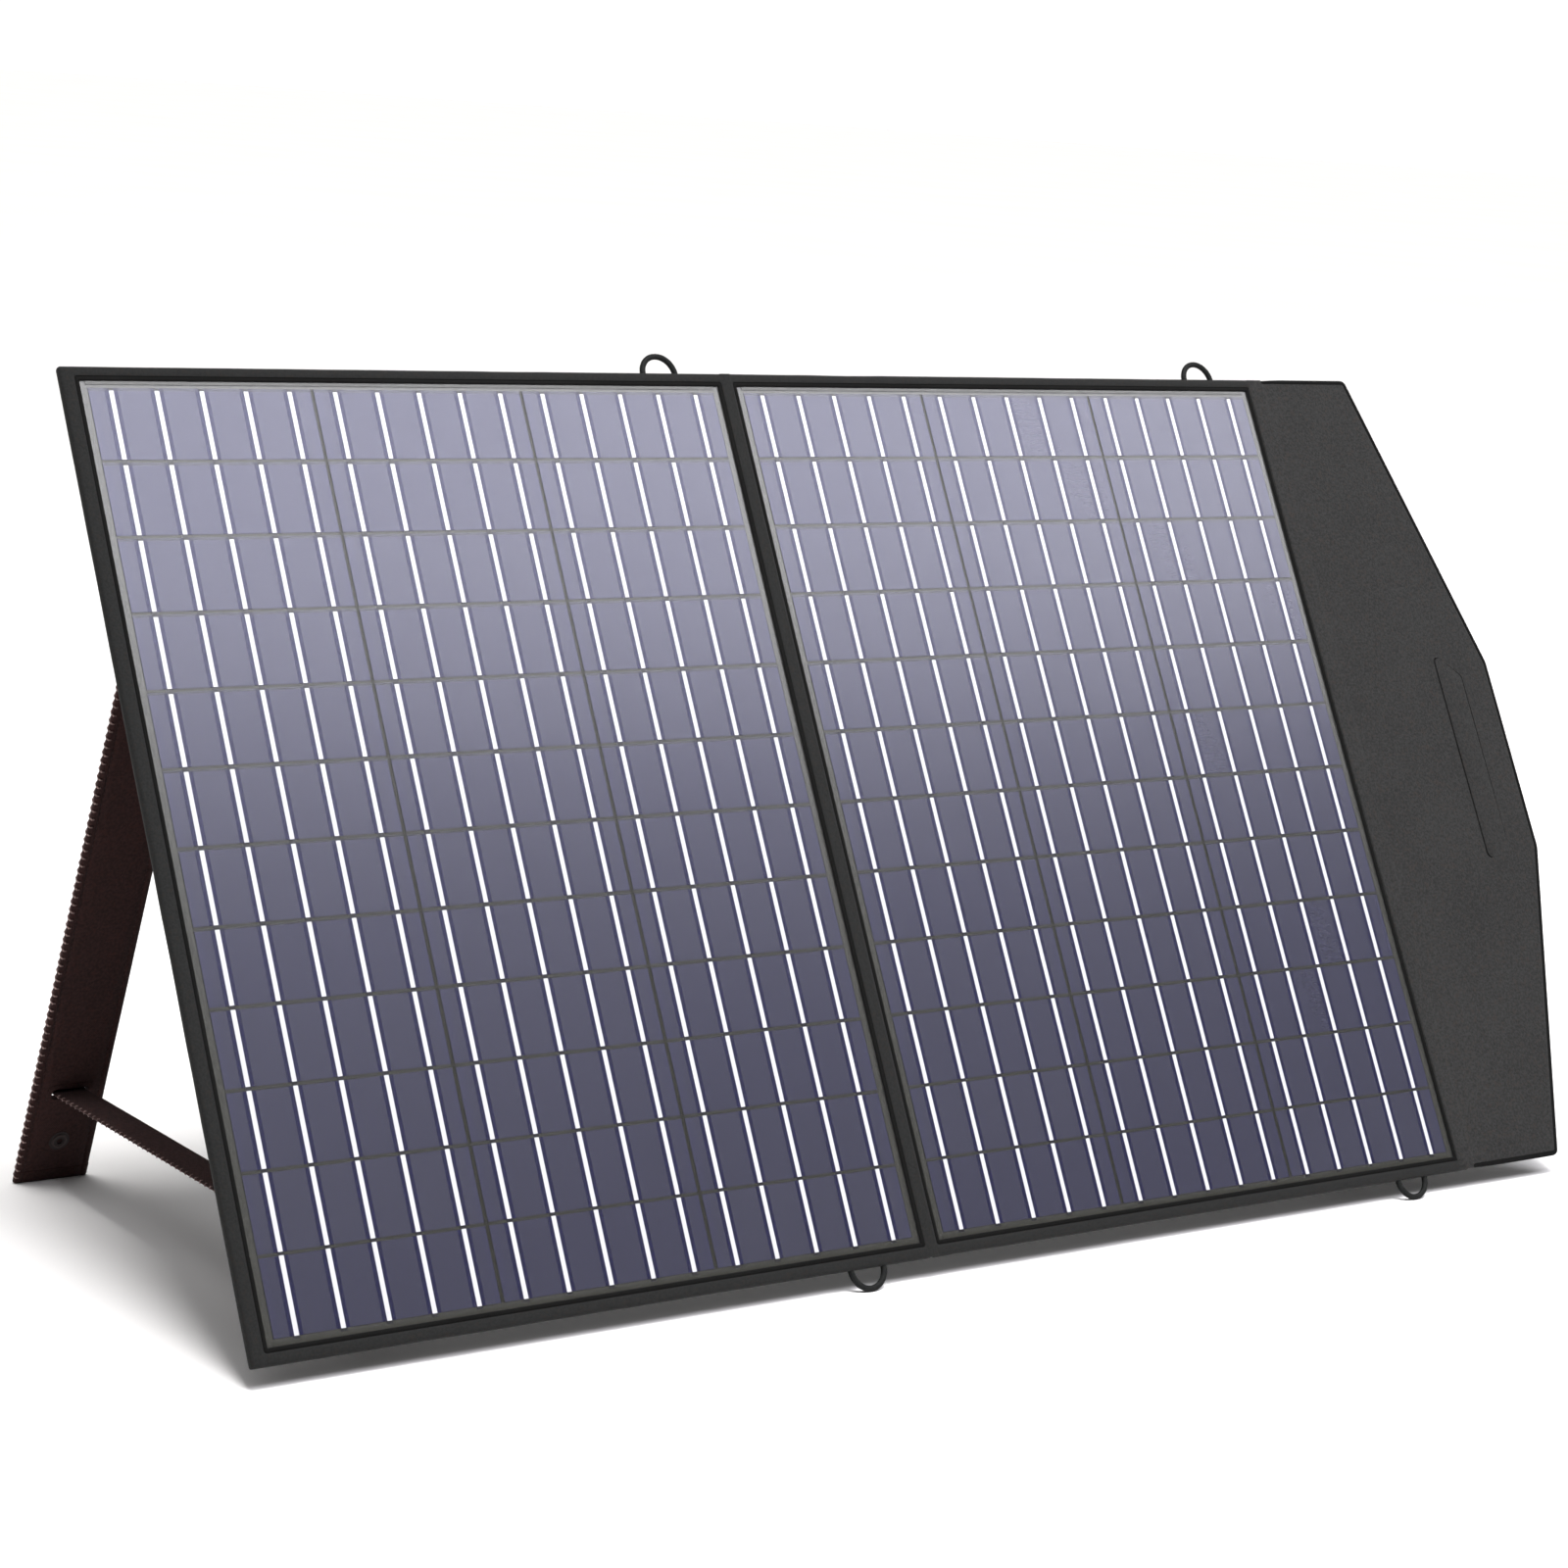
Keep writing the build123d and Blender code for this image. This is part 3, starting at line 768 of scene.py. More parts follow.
M_CASE = woven("case_cloth", CASE_GREY, contrast=0.12)
M_LIP_SHADE = woven("lip_shade_cloth", LIP_SHADE_GREY, contrast=0.15, sheen=0.0)
M_FLAP = woven("flap_cloth", FLAP_GREY, yarn=0.0011, contrast=0.2)
M_RIM = woven("rim_binding", RIM_DARK, yarn=0.0007, contrast=0.15, sheen=0.0)
M_LEG = woven("leg_cloth", LEG_BROWN, yarn=0.0012, axes=LEGS["left"], contrast=0.18, sheen=0.08)
HEM_BROWN = scaled(LEG_BROWN, 0.95)
M_HEM = woven("leg_hem_cloth", HEM_BROWN, yarn=0.0012, axes=LEGS["left"], contrast=0.18, sheen=0.08)
M_STRAP = woven("strap_webbing", STRAP_BROWN, yarn=0.0016, contrast=0.2, sheen=0.1)
M_PATCH = woven("patch_cloth", scaled(CASE_GREY, 0.7), yarn=0.0010, contrast=0.15)
M_THREAD = braided("pale_thread", THREAD_PINK)
M_DARK_THREAD = braided("dark_thread", (0.075, 0.074, 0.072))
M_CORD = braided("loop_cord", (0.0085, 0.0090, 0.0088), 0.0)
M_FOAM = foam("edge_foam", (0.02, 0.02, 0.02))
M_BOARD = foam("board_core", (0.32, 0.30, 0.26))
M_BOX = moulded("box_plastic", (0.018, 0.018, 0.019), 0.45)
M_LID = moulded("lid_plastic", (0.024, 0.024, 0.025), 0.4)
M_GLAND = moulded("gland_plastic", (0.016, 0.016, 0.017), 0.5)
M_LEAD = moulded("lead_jacket", (0.015, 0.015, 0.015), 0.55)
M_DIODE = moulded("diode_case", (0.012, 0.012, 0.013), 0.35)
M_SCREW = metal("screw_steel", (0.55, 0.55, 0.56))
M_STUD = metal("stud_gunmetal", (0.12, 0.11, 0.11), 0.35)
M_RIBBON = ribbon_metal()
M_FILM = clear_film()


# ---- case of one panel ----


def case_box(side):
    """(u0, u1, v0, v1) of a case, and of the laminate's opening in it."""
    u, v = PANEL.span(f"{side}_front_bezel")[:2]
    film_u, film_v = PANEL.span(f"{side}_front_film")[:2]
    window = (film_u[0] + FILM_TUCK, film_u[1] - FILM_TUCK, film_v[0] + FILM_TUCK, film_v[1] - FILM_TUCK)
    return (*u, *v), window


def rectangle(box, grow, radius, per_side=48, per_corner=5):
    """A rounded rectangle as points in order, each side split evenly."""
    u0, u1, v0, v1 = box[0] - grow, box[1] + grow, box[2] - grow, box[3] + grow
    corners = [(u1, v1, 0), (u0, v1, 1), (u0, v0, 2), (u1, v0, 3)]
    points = []
    for k, (u, v, quarter) in enumerate(corners):
        cu = u - math.copysign(radius, u - (u0 + u1) / 2)
        cv = v - math.copysign(radius, v - (v0 + v1) / 2)
        for i in range(per_corner):
            angle = math.pi / 2 * (quarter + i / (per_corner - 1))
            points.append((cu + radius * math.cos(angle), cv + radius * math.sin(angle)))
        nu, nv, following = corners[(k + 1) % 4]
        angle = math.pi / 2 * following
        nu = nu - math.copysign(radius, nu - (u0 + u1) / 2) + radius * math.cos(angle)
        nv = nv - math.copysign(radius, nv - (v0 + v1) / 2) + radius * math.sin(angle)
        last = points[-1]
        for i in range(1, per_side):
            t = i / per_side
            points.append((last[0] + (nu - last[0]) * t, last[1] + (nv - last[1]) * t))
    return points


def case_front(side):
    """The sewn frame of the case: painted shade on the cloth at the laminate's edge, a soft raised strip,
    edge and turned-over binding.
    """
    case, window = case_box(side)
    depth = -PANEL.span(f"{side}_back_cover")[2][0]
    # outline, how far outside it, corner radius, height, and 1 where the cloth is painted dark as shade
    # beside the laminate
    profile = [
        (window, 0.0000, 0.0006, -0.00056, 1),
        (window, 0.0002, 0.0007, -0.00012, 1),
        (window, 0.0009, 0.0010, 0.00008, 1),
        (window, 0.0022, 0.0014, 0.00002, 1),
        (window, 0.0028, 0.0016, -0.00035, 1),
        (window, 0.0032, 0.0018, 0.00002, 0),
        (window, 0.0040, 0.0020, 0.00028, 0),
        (case, -0.0022, 0.0014, 0.00030, 0),
        (case, -0.0008, 0.0014, -0.00010, 0),
        (case, -0.0001, 0.0014, -0.00100, 0),
        (case, 0.0001, 0.0014, -depth / 2, 0),
        (case, -0.0002, 0.0014, -depth * 0.82, 0),
        (case, -0.0012, 0.0024, -depth - 0.0001, 0),
        (case, -0.0035, 0.0024, -depth - 0.00035, 0),
        (case, -BACK_TURN + 0.0005, 0.0024, -depth - 0.00040, 0),
        (case, -BACK_TURN, 0.0024, -depth - 0.00005, 0),
        (case, -0.0040, 0.0024, -depth + 0.0009, 0),
        (case, -0.0014, 0.0020, -depth + 0.0014, 0),
        (case, -0.0014, 0.0020, -0.00070, 0),
        (window, 0.0006, 0.0006, -0.00060, 0),
    ]
    rings = []
    for box, grow, radius, w, skin in profile:
        ring = []
        stray = 1.0 if box is case else 0.3
        for u, v in rectangle(box, grow, radius):
            shift = wander(u, v, seed=3.0 if side == "left" else 7.0) * stray
            puff = wander(u, v, 0.00025, 0.03, 11.0) * stray
            middle = PANEL.at((case[0] + case[1]) / 2, (case[2] + case[3]) / 2, 0)
            place = PANEL.at(u, v, w + (puff if w > -0.0005 else 0))
            inward = (middle - place).normalized()
            ring.append(place + inward * abs(shift) * (1 if box is case else 0))
        rings.append(ring)
    skins = [entry[4] for entry in profile]
    piece = loft(
        f"{side}_case_front",
        rings,
        [M_CASE, M_LIP_SHADE],
        closed=True,
        skin_of=skins.__getitem__,
        sharp=60,
    )
    replaced = (f"{side}_front_bezel", f"{side}_side_binding")
    return finish_piece(piece, f"{side}_panel", "case_fabric", *replaced)


def case_back(side):
    """The cloth on the back, slack enough to ripple a little between its seams."""
    case = case_box(side)[0]
    low = PANEL.span(f"{side}_back_cover")[2][0]
    inset = BACK_TURN - 0.003
    columns = spread(case[0] + inset, case[1] - inset, 64)
    rows = spread(case[2] + inset, case[3] - inset, 80)

    def place(i, j, face):
        u, v = columns[i], rows[j]
        if face:
            return PANEL.at(u, v, low + 0.0007)
        edge = min(i, j, len(columns) - 1 - i, len(rows) - 1 - j)
        slack = min(1.0, edge / 5)
        ripple = wander(u, v, 0.0007, 0.09, 21.0) + wander(u, v, 0.0003, 0.03, 5.0)
        return PANEL.at(u, v, low - 0.00008 - slack * abs(ripple))

    piece = slab(f"{side}_case_back", len(columns), len(rows), place, [M_CASE])
    finish_piece(piece, f"{side}_panel", "case_fabric", f"{side}_back_cover")
    inset = BACK_TURN - 0.0022
    box = (case[0] + inset, case[1] - inset, case[2] + inset, case[3] - inset)
    seam_w = low - 0.00035
    seam = sewn_box(f"{side}_back_stitching", PANEL, box, seam_w, M_DARK_THREAD, 0.00042, 0.6, False)
    return finish_piece(seam, f"{side}_panel", "case_fabric")


def fold_strip():
    """The cloth that joins the two cases at the fold."""
    u, v, w = PANEL.span("fold_hinge_fabric")
    half = FOLD_STRIP_HALF
    top = [(-half, 0.00004), (-half + 0.0004, 0.00026), (-half + 0.0016, 0.00040)]
    middle = [(x * 0.0005, 0.00040) for x in range(-5, 6)]
    under = [(0.0014, -0.0002), (0.0012, w[0]), (0.0004, w[0]), (-0.0004, w[0])]
    profile = top + middle + [(-a, b) for a, b in reversed(top)]
    profile += under + [(-0.0012, w[0]), (-0.0014, -0.0002)]
    rings = []
    for height in spread(v[0] + 0.0004, v[1] - 0.0004, 96):
        stray = wander(0, height, 0.0003, 0.05, 2.0)
        rings.append([PANEL.at(a + (stray if b > 0 else 0), height, b) for a, b in profile])
    piece = loft("fold_strip", rings, [M_CASE], sharp=70)
    ends = (PANEL.at(u[0], 0, 0), PANEL.at(u[1], 0, 0))
    return bend_piece(piece, ("left_panel", "right_panel"), ends, "case_fabric", "fold_hinge_fabric")


# ---- cord loops ----


def cord_loop(side, edge):
    """A half ring of braided cord sewn into the edge of the case."""
    node = f"{side}_{edge}_loop"
    u, v, w = PANEL.span(node)
    cord_r = (w[1] - w[0]) / 2
    radius = (u[1] - u[0]) / 2 - cord_r
    base = v[0] if edge == "top" else v[1]
    sign = 1 if edge == "top" else -1
    centre = PANEL.at((u[0] + u[1]) / 2, base, (w[0] + w[1]) / 2)
    path = [centre + PANEL.right * radius - PANEL.up * sign * 0.003]
    for i in range(97):
        angle = math.pi * i / 96
        climb = PANEL.up * sign * radius * math.sin(angle)
        path.append(centre + PANEL.right * radius * math.cos(angle) + climb)
    path.append(centre - PANEL.right * radius - PANEL.up * sign * 0.003)
    rings = []
    for i, (point, along, square) in enumerate(stations(path, PANEL.out)):
        ring = []
        for k in range(24):
            angle = 2 * math.pi * k / 24
            braid = math.sin(4 * angle + i * 0.65) * math.sin(4 * angle - i * 0.65)
            size = cord_r * (1.0 + 0.08 * abs(braid))
            ring.append(point + PANEL.out * size * math.cos(angle) + square * size * math.sin(angle))
        rings.append(ring)
    piece = loft(f"{node}_cord", rings, [M_CORD], sharp=80)
    return finish_piece(piece, f"{side}_panel", "cord", node)


# ---- handle flap ----


def flap_shape():
    """Root, shoulder and outer u, and the half heights at the shoulder and the outer edge."""
    u, v, w = PANEL.span("flap_edge_rim")
    hull = PANEL.outline("flap_edge_rim")
    middle = (v[0] + v[1]) / 2
    shoulder = max(a for a, b in hull if b > v[1] - 0.0005)
    outer_half = max(b for a, b in hull if a > u[1] - 0.0005) - middle
    return u, v, w, middle, shoulder, outer_half


FLAP_U, FLAP_V, FLAP_W, FLAP_MIDDLE, FLAP_SHOULDER, FLAP_OUTER_HALF = flap_shape()
FLAP_HALF = (FLAP_V[1] - FLAP_V[0]) / 2


FLAP_SLOPE = (FLAP_HALF - FLAP_OUTER_HALF) / (FLAP_U[1] - FLAP_SHOULDER)
SKIN_INSET = PIPING_WIDTH * 0.9
SKIN_SHOULDER = FLAP_SHOULDER - SKIN_INSET * (math.hypot(1, FLAP_SLOPE) - 1) / FLAP_SLOPE
SLANTED_COLUMNS = spread(SKIN_SHOULDER + 0.006, FLAP_U[1] - PIPING_WIDTH * 0.92, 10)


def flap_half(u, inset):
    """Half height of the flap at a distance from the fold, drawn in from its edge by the inset."""
    slanted = FLAP_HALF - FLAP_SLOPE * (u - FLAP_SHOULDER) - inset * math.hypot(1, FLAP_SLOPE)
    return min(FLAP_HALF - inset, slanted)


def tongue_outline(grow):
    """The tongue's outline, grown about its middle."""
    outline = PANEL.outline("hand_hole_tongue")
    mu = sum(u for u, v in outline) / len(outline)
    found = []
    for u, v in outline:
        found.append((u + math.copysign(grow, u - mu), v + math.copysign(grow, v - FLAP_MIDDLE)))
    return found


def flap_ends():
    u = PANEL.span("flap_hinge_fabric")[0]
    return PANEL.at(u[0], 0, 0), PANEL.at(u[1], 0, 0), u


def flap_front():
    """Front skin: it starts beside the right laminate and runs over the hinge onto the flap."""
    window = case_box("right")[1]
    start, end, hinge = flap_ends()
    first = window[1] + SKIN_START
    columns = [first] + spread(first + 0.0008, hinge[0] - 0.0006, 5)
    columns += spread(hinge[0], hinge[1], 9)
    columns += [hinge[1] + 0.0014] + spread(hinge[1] + 0.004, SKIN_SHOULDER, 14)
    columns += SLANTED_COLUMNS
    rows = 73

    def place(i, j, face):
        u = columns[i]
        half = flap_half(u, SKIN_SHY if u < hinge[1] + 0.001 else SKIN_INSET)
        v = FLAP_MIDDLE + half * (2 * j / (rows - 1) - 1)
        rise = 0.00034 + wander(u, v, 0.0004, 0.12, 31.0) + wander(u, v, 0.00012, 0.02, 8.0)
        if u < hinge[1] + 0.001:
            rise = max(rise, SKIN_LIFT)
        if i == 0:
            rise = -0.00015
        elif j in (0, rows - 1):
            rise = 0.00015 if u < hinge[1] + 0.001 else 0.00005
        if u > hinge[1]:
            inner = rise - 0.00085
        else:
            inner = -0.00005 if u < hinge[0] else rise - 0.0008
        return PANEL.at(u, v, inner if face else rise)

    piece = slab("flap_front_skin", len(columns), rows, place, [M_FLAP], sharp=50)
    cut(piece, tongue_outline(0.0002), PANEL, -0.01, 0.01)
    bodies = ("right_panel", "handle_flap")
    replaced = ("flap_front_fabric", "flap_hinge_fabric")
    return bend_piece(piece, bodies, (start, end), "flap_fabric", *replaced)


def flap_back():
    """Back skin of the flap."""
    rows = 49
    columns = spread(FLAP_U[0] + 0.0004, SKIN_SHOULDER, 14)
    columns += SLANTED_COLUMNS

    def place(i, j, face):
        u = columns[i]
        half = flap_half(u, SKIN_INSET)
        v = FLAP_MIDDLE + half * (2 * j / (rows - 1) - 1)
        ripple = abs(wander(u, v, 0.0005, 0.10, 41.0))
        return PANEL.at(u, v, FLAP_W[0] + 0.0006 if face else FLAP_W[0] - 0.00005 - ripple)

    piece = slab("flap_back_skin", len(columns), rows, place, [M_FLAP], sharp=50)
    cut(piece, tongue_outline(0.0002), PANEL, -0.02, 0.01)
    return finish_piece(piece, "handle_flap", "flap_fabric", "flap_back_fabric")


def flap_path(inset):
    """The flap's free edge from its lower root corner round to its upper one."""
    shoulder = FLAP_SHOULDER - inset * (math.hypot(1, FLAP_SLOPE) - 1) / FLAP_SLOPE
    outer = FLAP_U[1] - inset
    half = FLAP_HALF - inset
    tip = FLAP_OUTER_HALF - inset * (math.hypot(1, FLAP_SLOPE) - FLAP_SLOPE)
    corners = [
        (FLAP_U[0] + 0.0006, -half),
        (shoulder, -half),
        (outer, -tip),
        (outer, tip),
        (shoulder, half),
        (FLAP_U[0] + 0.0006, half),
    ]
    return [PANEL.at(u, FLAP_MIDDLE + v, (FLAP_W[0] + FLAP_W[1]) / 2) for u, v in corners]


def flap_rim():
    """Dark binding round the free edge of the flap."""
    path = resampled(rounded(flap_path(PIPING_WIDTH * 0.5), FLAP_CORNER), 0.012)
    height = (FLAP_W[1] - FLAP_W[0]) / 2 + 0.00045
    profile = oval(height, PIPING_WIDTH * 0.52, 3.4, 16)
    piece = sweep("flap_edge_binding", path, profile, PANEL.out, [M_RIM], sharp=60)
    return finish_piece(piece, "handle_flap", "flap_fabric", "flap_edge_rim")


def hole_trim():
    """Cloth turned in round the hand hole, between the two skins."""
    outline = tongue_outline(0.0006)
    path = [PANEL.at(u, v, (FLAP_W[0] + FLAP_W[1]) / 2) for u, v in outline]
    half = (FLAP_W[1] - FLAP_W[0]) / 2 - 0.0002
    rings = carried(path, oval(half, 0.00045, 4.0, 12), PANEL.out, closed=True)
    piece = loft("hand_hole_trim", rings, [M_RIM], closed=True, sharp=60)
    return finish_piece(piece, "handle_flap", "flap_fabric")


def tongue():
    """The push-through tongue that closes the hand hole until a hand pushes it back."""
    outline = PANEL.outline("hand_hole_tongue")
    u0 = min(u for u, v in outline)
    u1 = max(u for u, v in outline)
    mu = (u0 + u1) / 2
    # share of the rounding, height, and 1 where the slit beside the hinge side is open
    layers = [
        (0.5, FLAP_W[0] + 0.0003, 0),
        (0.0, FLAP_W[0] + 0.0005, 0),
        (0.0, FLAP_W[1] - 0.0012, 0),
        (0.0, FLAP_W[1] - 0.0010, 1),
        (0.0, FLAP_W[1] + 0.0000, 1),
        (0.5, FLAP_W[1] + 0.0003, 1),
    ]
    rings = []
    for inset, w, opened in layers:
        ring = []
        for u, v in outline:
            share = (u1 - u) / (u1 - u0)
            slit = TONGUE_SLIT * share * opened
            pull_u = math.copysign(inset * 0.001, u - mu)
            pull_v = math.copysign(inset * 0.0016, v - FLAP_MIDDLE)
            ring.append(PANEL.at(u - pull_u + slit, v - pull_v, w))
        rings.append(ring)
    piece = loft("hand_hole_tongue_cover", rings, [M_FLAP], sharp=50)
    return finish_piece(piece, "hole_tongue", "flap_fabric", "hand_hole_tongue")


# ---- legs ----


LEG_U, LEG_V, LEG_W = LEGS["left"].span("left_leg_sleeve")
HEM_V = LEGS["left"].span("left_leg_foot_hem")[1]
SLOT_U, SLOT_V = LEGS["left"].span("left_leg_slot_rim")[:2]
LEG_HALF = (LEG_U[1] - LEG_U[0]) / 2
LEG_THICK = LEG_W[1] - LEG_W[0]
SLOT_MIDDLE = (SLOT_V[0] + SLOT_V[1]) / 2


def leg_section(grow=0.0):
    """Cross-section of a leg as (u, w) points: soft edges and a sewn channel inside each."""
    half = LEG_HALF + grow * 0.5
    seam = LEG_HALF - SEAM_INSET
    # from the soft edge over the padding, down into the seam and up to the flat middle
    front = [
        (half - 0.0012, -0.00020),
        (half - 0.0030, 0.00016),
        (seam + 0.0005, 0.00006),
        (seam, -0.00038),
        (seam - 0.0005, 0.00006),
        (seam - 0.0060, 0.00020),
        (half * 0.35, 0.00024),
    ]
    face = front + [(-u, w) for u, w in reversed(front)]
    edge = [(-half + 0.00015, -0.0011), (-half, -LEG_THICK / 2)]
    rest = [(u, -LEG_THICK - w) for u, w in reversed(face)]
    left = [(u, w) for u, w in edge] + [(edge[0][0], -LEG_THICK - edge[0][1])]
    right = [(-u, w) for u, w in reversed(left)]
    section = face + left + rest + right
    middle = -LEG_THICK / 2
    return [(u, w + math.copysign(grow, w - middle) if abs(w - middle) > 1e-6 else w) for u, w in section]


def leg_rings(axes, heights, grow):
    rings = []
    section = leg_section(grow)
    for i, v in enumerate(heights):
        last = i in (0, len(heights) - 1)
        thin = 0.72 if last else 1.0
        ring = []
        for u, w in section:
            stray = 1 + wander(u * 0.2, v, 0.008, 0.06, 51.0)
            ring.append(axes.at(u * stray, v, -LEG_THICK / 2 + (w + LEG_THICK / 2) * thin))
        rings.append(ring)
    return rings


def leg(side):
    """The sewn sleeve of a leg with its strap slot, overlocked edges and folded foot."""
    axes = LEGS[side]
    heights = [LEG_V[0] - 0.001, LEG_V[0]] + spread(LEG_V[0] + 0.004, LEG_V[1] - 0.001, 60) + [LEG_V[1]]
    sleeve = loft(f"{side}_leg_cover", leg_rings(axes, heights, 0.0), [M_LEG], sharp=50)
    inner_u = (SLOT_U[1] - SLOT_U[0]) / 2 - 0.0024
    inner_v = (SLOT_V[1] - SLOT_V[0]) / 2 - 0.0024
    hole = rectangle((-inner_u, inner_u, SLOT_MIDDLE - inner_v, SLOT_MIDDLE + inner_v), 0, 0.003, 4, 6)
    cut(sleeve, hole, axes, -0.02, 0.02)
    finish_piece(sleeve, f"{side}_leg", "leg_fabric", f"{side}_leg_sleeve")
    foot = HEM_V[0]
    top = HEM_V[1]
    heights = [foot + 0.00015, foot + 0.0009] + spread(foot + 0.0018, top + 0.0014, 5) + [top + 0.0019]
    hem = loft(f"{side}_leg_hem", leg_rings(axes, heights, 0.00035), [M_HEM], sharp=50)
    finish_piece(hem, f"{side}_leg", "leg_fabric", f"{side}_leg_foot_hem")
    path = [axes.at(0, foot + 0.006, -LEG_THICK / 2), axes.at(0, LEG_V[1] - 0.003, -LEG_THICK / 2)]
    places = spaced(path, axes.right, OVERLOCK_PITCH)
    runs = whip_runs(places, -axes.right, LEG_HALF - 0.0001, LEG_THICK / 2 + 0.00035, -0.0036, 0.0017)
    overlock = threads(f"{side}_leg_overlock", runs, OVERLOCK_R, M_THREAD)
    finish_piece(overlock, f"{side}_leg", "leg_fabric")
    runs = []
    for edge in (-1, 1):
        for face, w in ((1, -0.00025), (-1, -LEG_THICK + 0.00025)):
            u = edge * (LEG_HALF - SEAM_INSET)
            ends = (axes.at(u, foot + 0.010, w), axes.at(u, LEG_V[1] - 0.002, w))
            runs.extend(stitch_line(*ends, axes.out * face * 0.0003, 0.6))
    seam = threads(f"{side}_leg_seam_stitches", runs, FINE_THREAD_R * 0.8, M_HEM, 5)
    return finish_piece(seam, f"{side}_leg", "leg_fabric")


def tied_patch(name, centre_u, v, w, half, material):
    """A sewn-down square of cloth with a soft edge."""
    rings = []
    # how far inside the patch's edge, and the share of its height
    steps = ((0.0, 0.0), (0.0, 0.6), (0.0006, 0.9), (0.0026, 1.0), (0.0034, 0.8), (0.0042, 1.02))
    for inset, height in steps:
        box = (centre_u - half, centre_u + half, v[0], v[1])
        loop = rectangle(box, -inset, 0.0016, 12, 4)
        rings.append([PANEL.at(a, b, w[1] + (w[0] - w[1]) * height * 1.02) for a, b in loop])
    return loft(name, rings, [material], sharp=60)


def strap(side):
    """Stay webbing from the back of the panel, through the leg's slot and sewn up behind it."""
    axes = LEGS[side]
    middle_u = (LEG_U[0] + LEG_U[1]) / 2
    u, v, w = PANEL.span(f"{side}_strap_patch")
    centre = (u[0] + u[1]) / 2
    strap_u, strap_v, strap_w = axes.span(f"{side}_stay_strap")
    half = (strap_u[1] - strap_u[0]) / 2 + STRAP_EASE
    thick = (w[1] - w[0]) / 2
    behind = strap_w[0] + thick
    corner = SLOT_MIDDLE - 0.0012
    path = [
        PANEL.at(centre, v[0] + 0.0022, w[1] - thick),
        PANEL.at(centre, v[0] - 0.0032, w[1] - thick),
        axes.at(middle_u, corner, behind),
        axes.at(middle_u, strap_v[1], behind),
    ]
    smooth = resampled(rounded(path, 0.0035, 6), 0.006)
    in_slot = [(point - axes.origin).dot(axes.out) < -LEG_THICK / 2 for point in smooth].index(True)
    span, tail = smooth[: in_slot + 1], smooth[in_slot:]
    profile = oval(half, thick, 6.0, 24)
    body = sweep(f"{side}_stay_webbing", span, profile, axes.right, [M_STRAP], sharp=60)
    finish_piece(body, f"{side}_panel", "webbing", f"{side}_stay_strap")
    sewn = sweep(f"{side}_stay_tail", tail, profile, axes.right, [M_STRAP], sharp=60)
    finish_piece(sewn, f"{side}_leg", "webbing")
    places = spaced(smooth[3:-4], axes.right, WHIP_PITCH)
    places = [place for place in places if (place[0] - axes.origin).dot(axes.out) > 0.001]
    runs = whip_runs(places, -axes.right, half - 0.0001, thick + 0.00030, -0.0030, 0.0018)
    edging = threads(f"{side}_stay_stitches", runs, THREAD_R, M_THREAD)
    finish_piece(edging, f"{side}_panel", "webbing")
    for piece in (body, edging):
        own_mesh(piece)
    patch = tied_patch(f"{side}_strap_tab", centre, v, w, (u[1] - u[0]) / 2, M_PATCH)
    finish_piece(patch, f"{side}_panel", "webbing", f"{side}_strap_patch")
    box = (u[0] + TAB_MARGIN, u[1] - TAB_MARGIN, v[0] + TAB_MARGIN, v[1] - TAB_MARGIN)
    cross = sewn_box(f"{side}_strap_tab_stitches", PANEL, box, w[0], M_THREAD)
    return finish_piece(cross, f"{side}_panel", "webbing")


def leg_hinge(side):
    """Cloth hinge from the back of the panel over the top of the leg, with sewn boxes at both ends."""
    axes = LEGS[side]
    u, v, w = PANEL.span(f"{side}_leg_hinge_patch")
    centre = (u[0] + u[1]) / 2
    thick = 0.0005
    outer = w[1] - thick
    behind = -LEG_THICK - 0.00075
    path = [
        PANEL.at(centre, v[1], outer),
        PANEL.at(centre, v[0] + 0.0040, outer),
        PANEL.at(centre, v[0] + 0.0005, outer - 0.0035),
        axes.at(0, -0.0025, behind),
        axes.at(0, -0.0340, behind),
    ]
    smooth = resampled(rounded(path, 0.004, 6), 0.003)
    profile = oval(LEG_HALF, thick, 6.0, 24)
    cloth = sweep(f"{side}_leg_hinge_cloth", smooth, profile, axes.right, [M_LEG], sharp=60)
    bodies = (f"{side}_panel", f"{side}_leg")
    ends = (path[1], path[3])
    replaced = (f"{side}_leg_hinge_patch", f"{side}_leg_hinge_fabric")
    bend_piece(cloth, bodies, ends, "leg_fabric", *replaced)
    box = (u[0] + HINGE_MARGIN, u[1] - HINGE_MARGIN, v[0] + 0.007, v[1] - HINGE_MARGIN)
    upper = sewn_box(f"{side}_hinge_stitches", PANEL, box, outer - thick, M_THREAD)
    finish_piece(upper, f"{side}_panel", "leg_fabric")
    half = LEG_HALF - HINGE_MARGIN
    box = (-half, half, -0.031, -0.008)
    lower = sewn_box(f"{side}_hinge_leg_stitches", axes, box, behind - thick, M_THREAD, crossed=False)
    return finish_piece(lower, f"{side}_leg", "leg_fabric")


# ---- lead across the fold ----


GROMMET_STEPS = ((0.0002, 2.3), (-0.0008, 2.3), (-0.0014, 2.0), (-0.0030, 1.35), (-0.0034, 1.05))


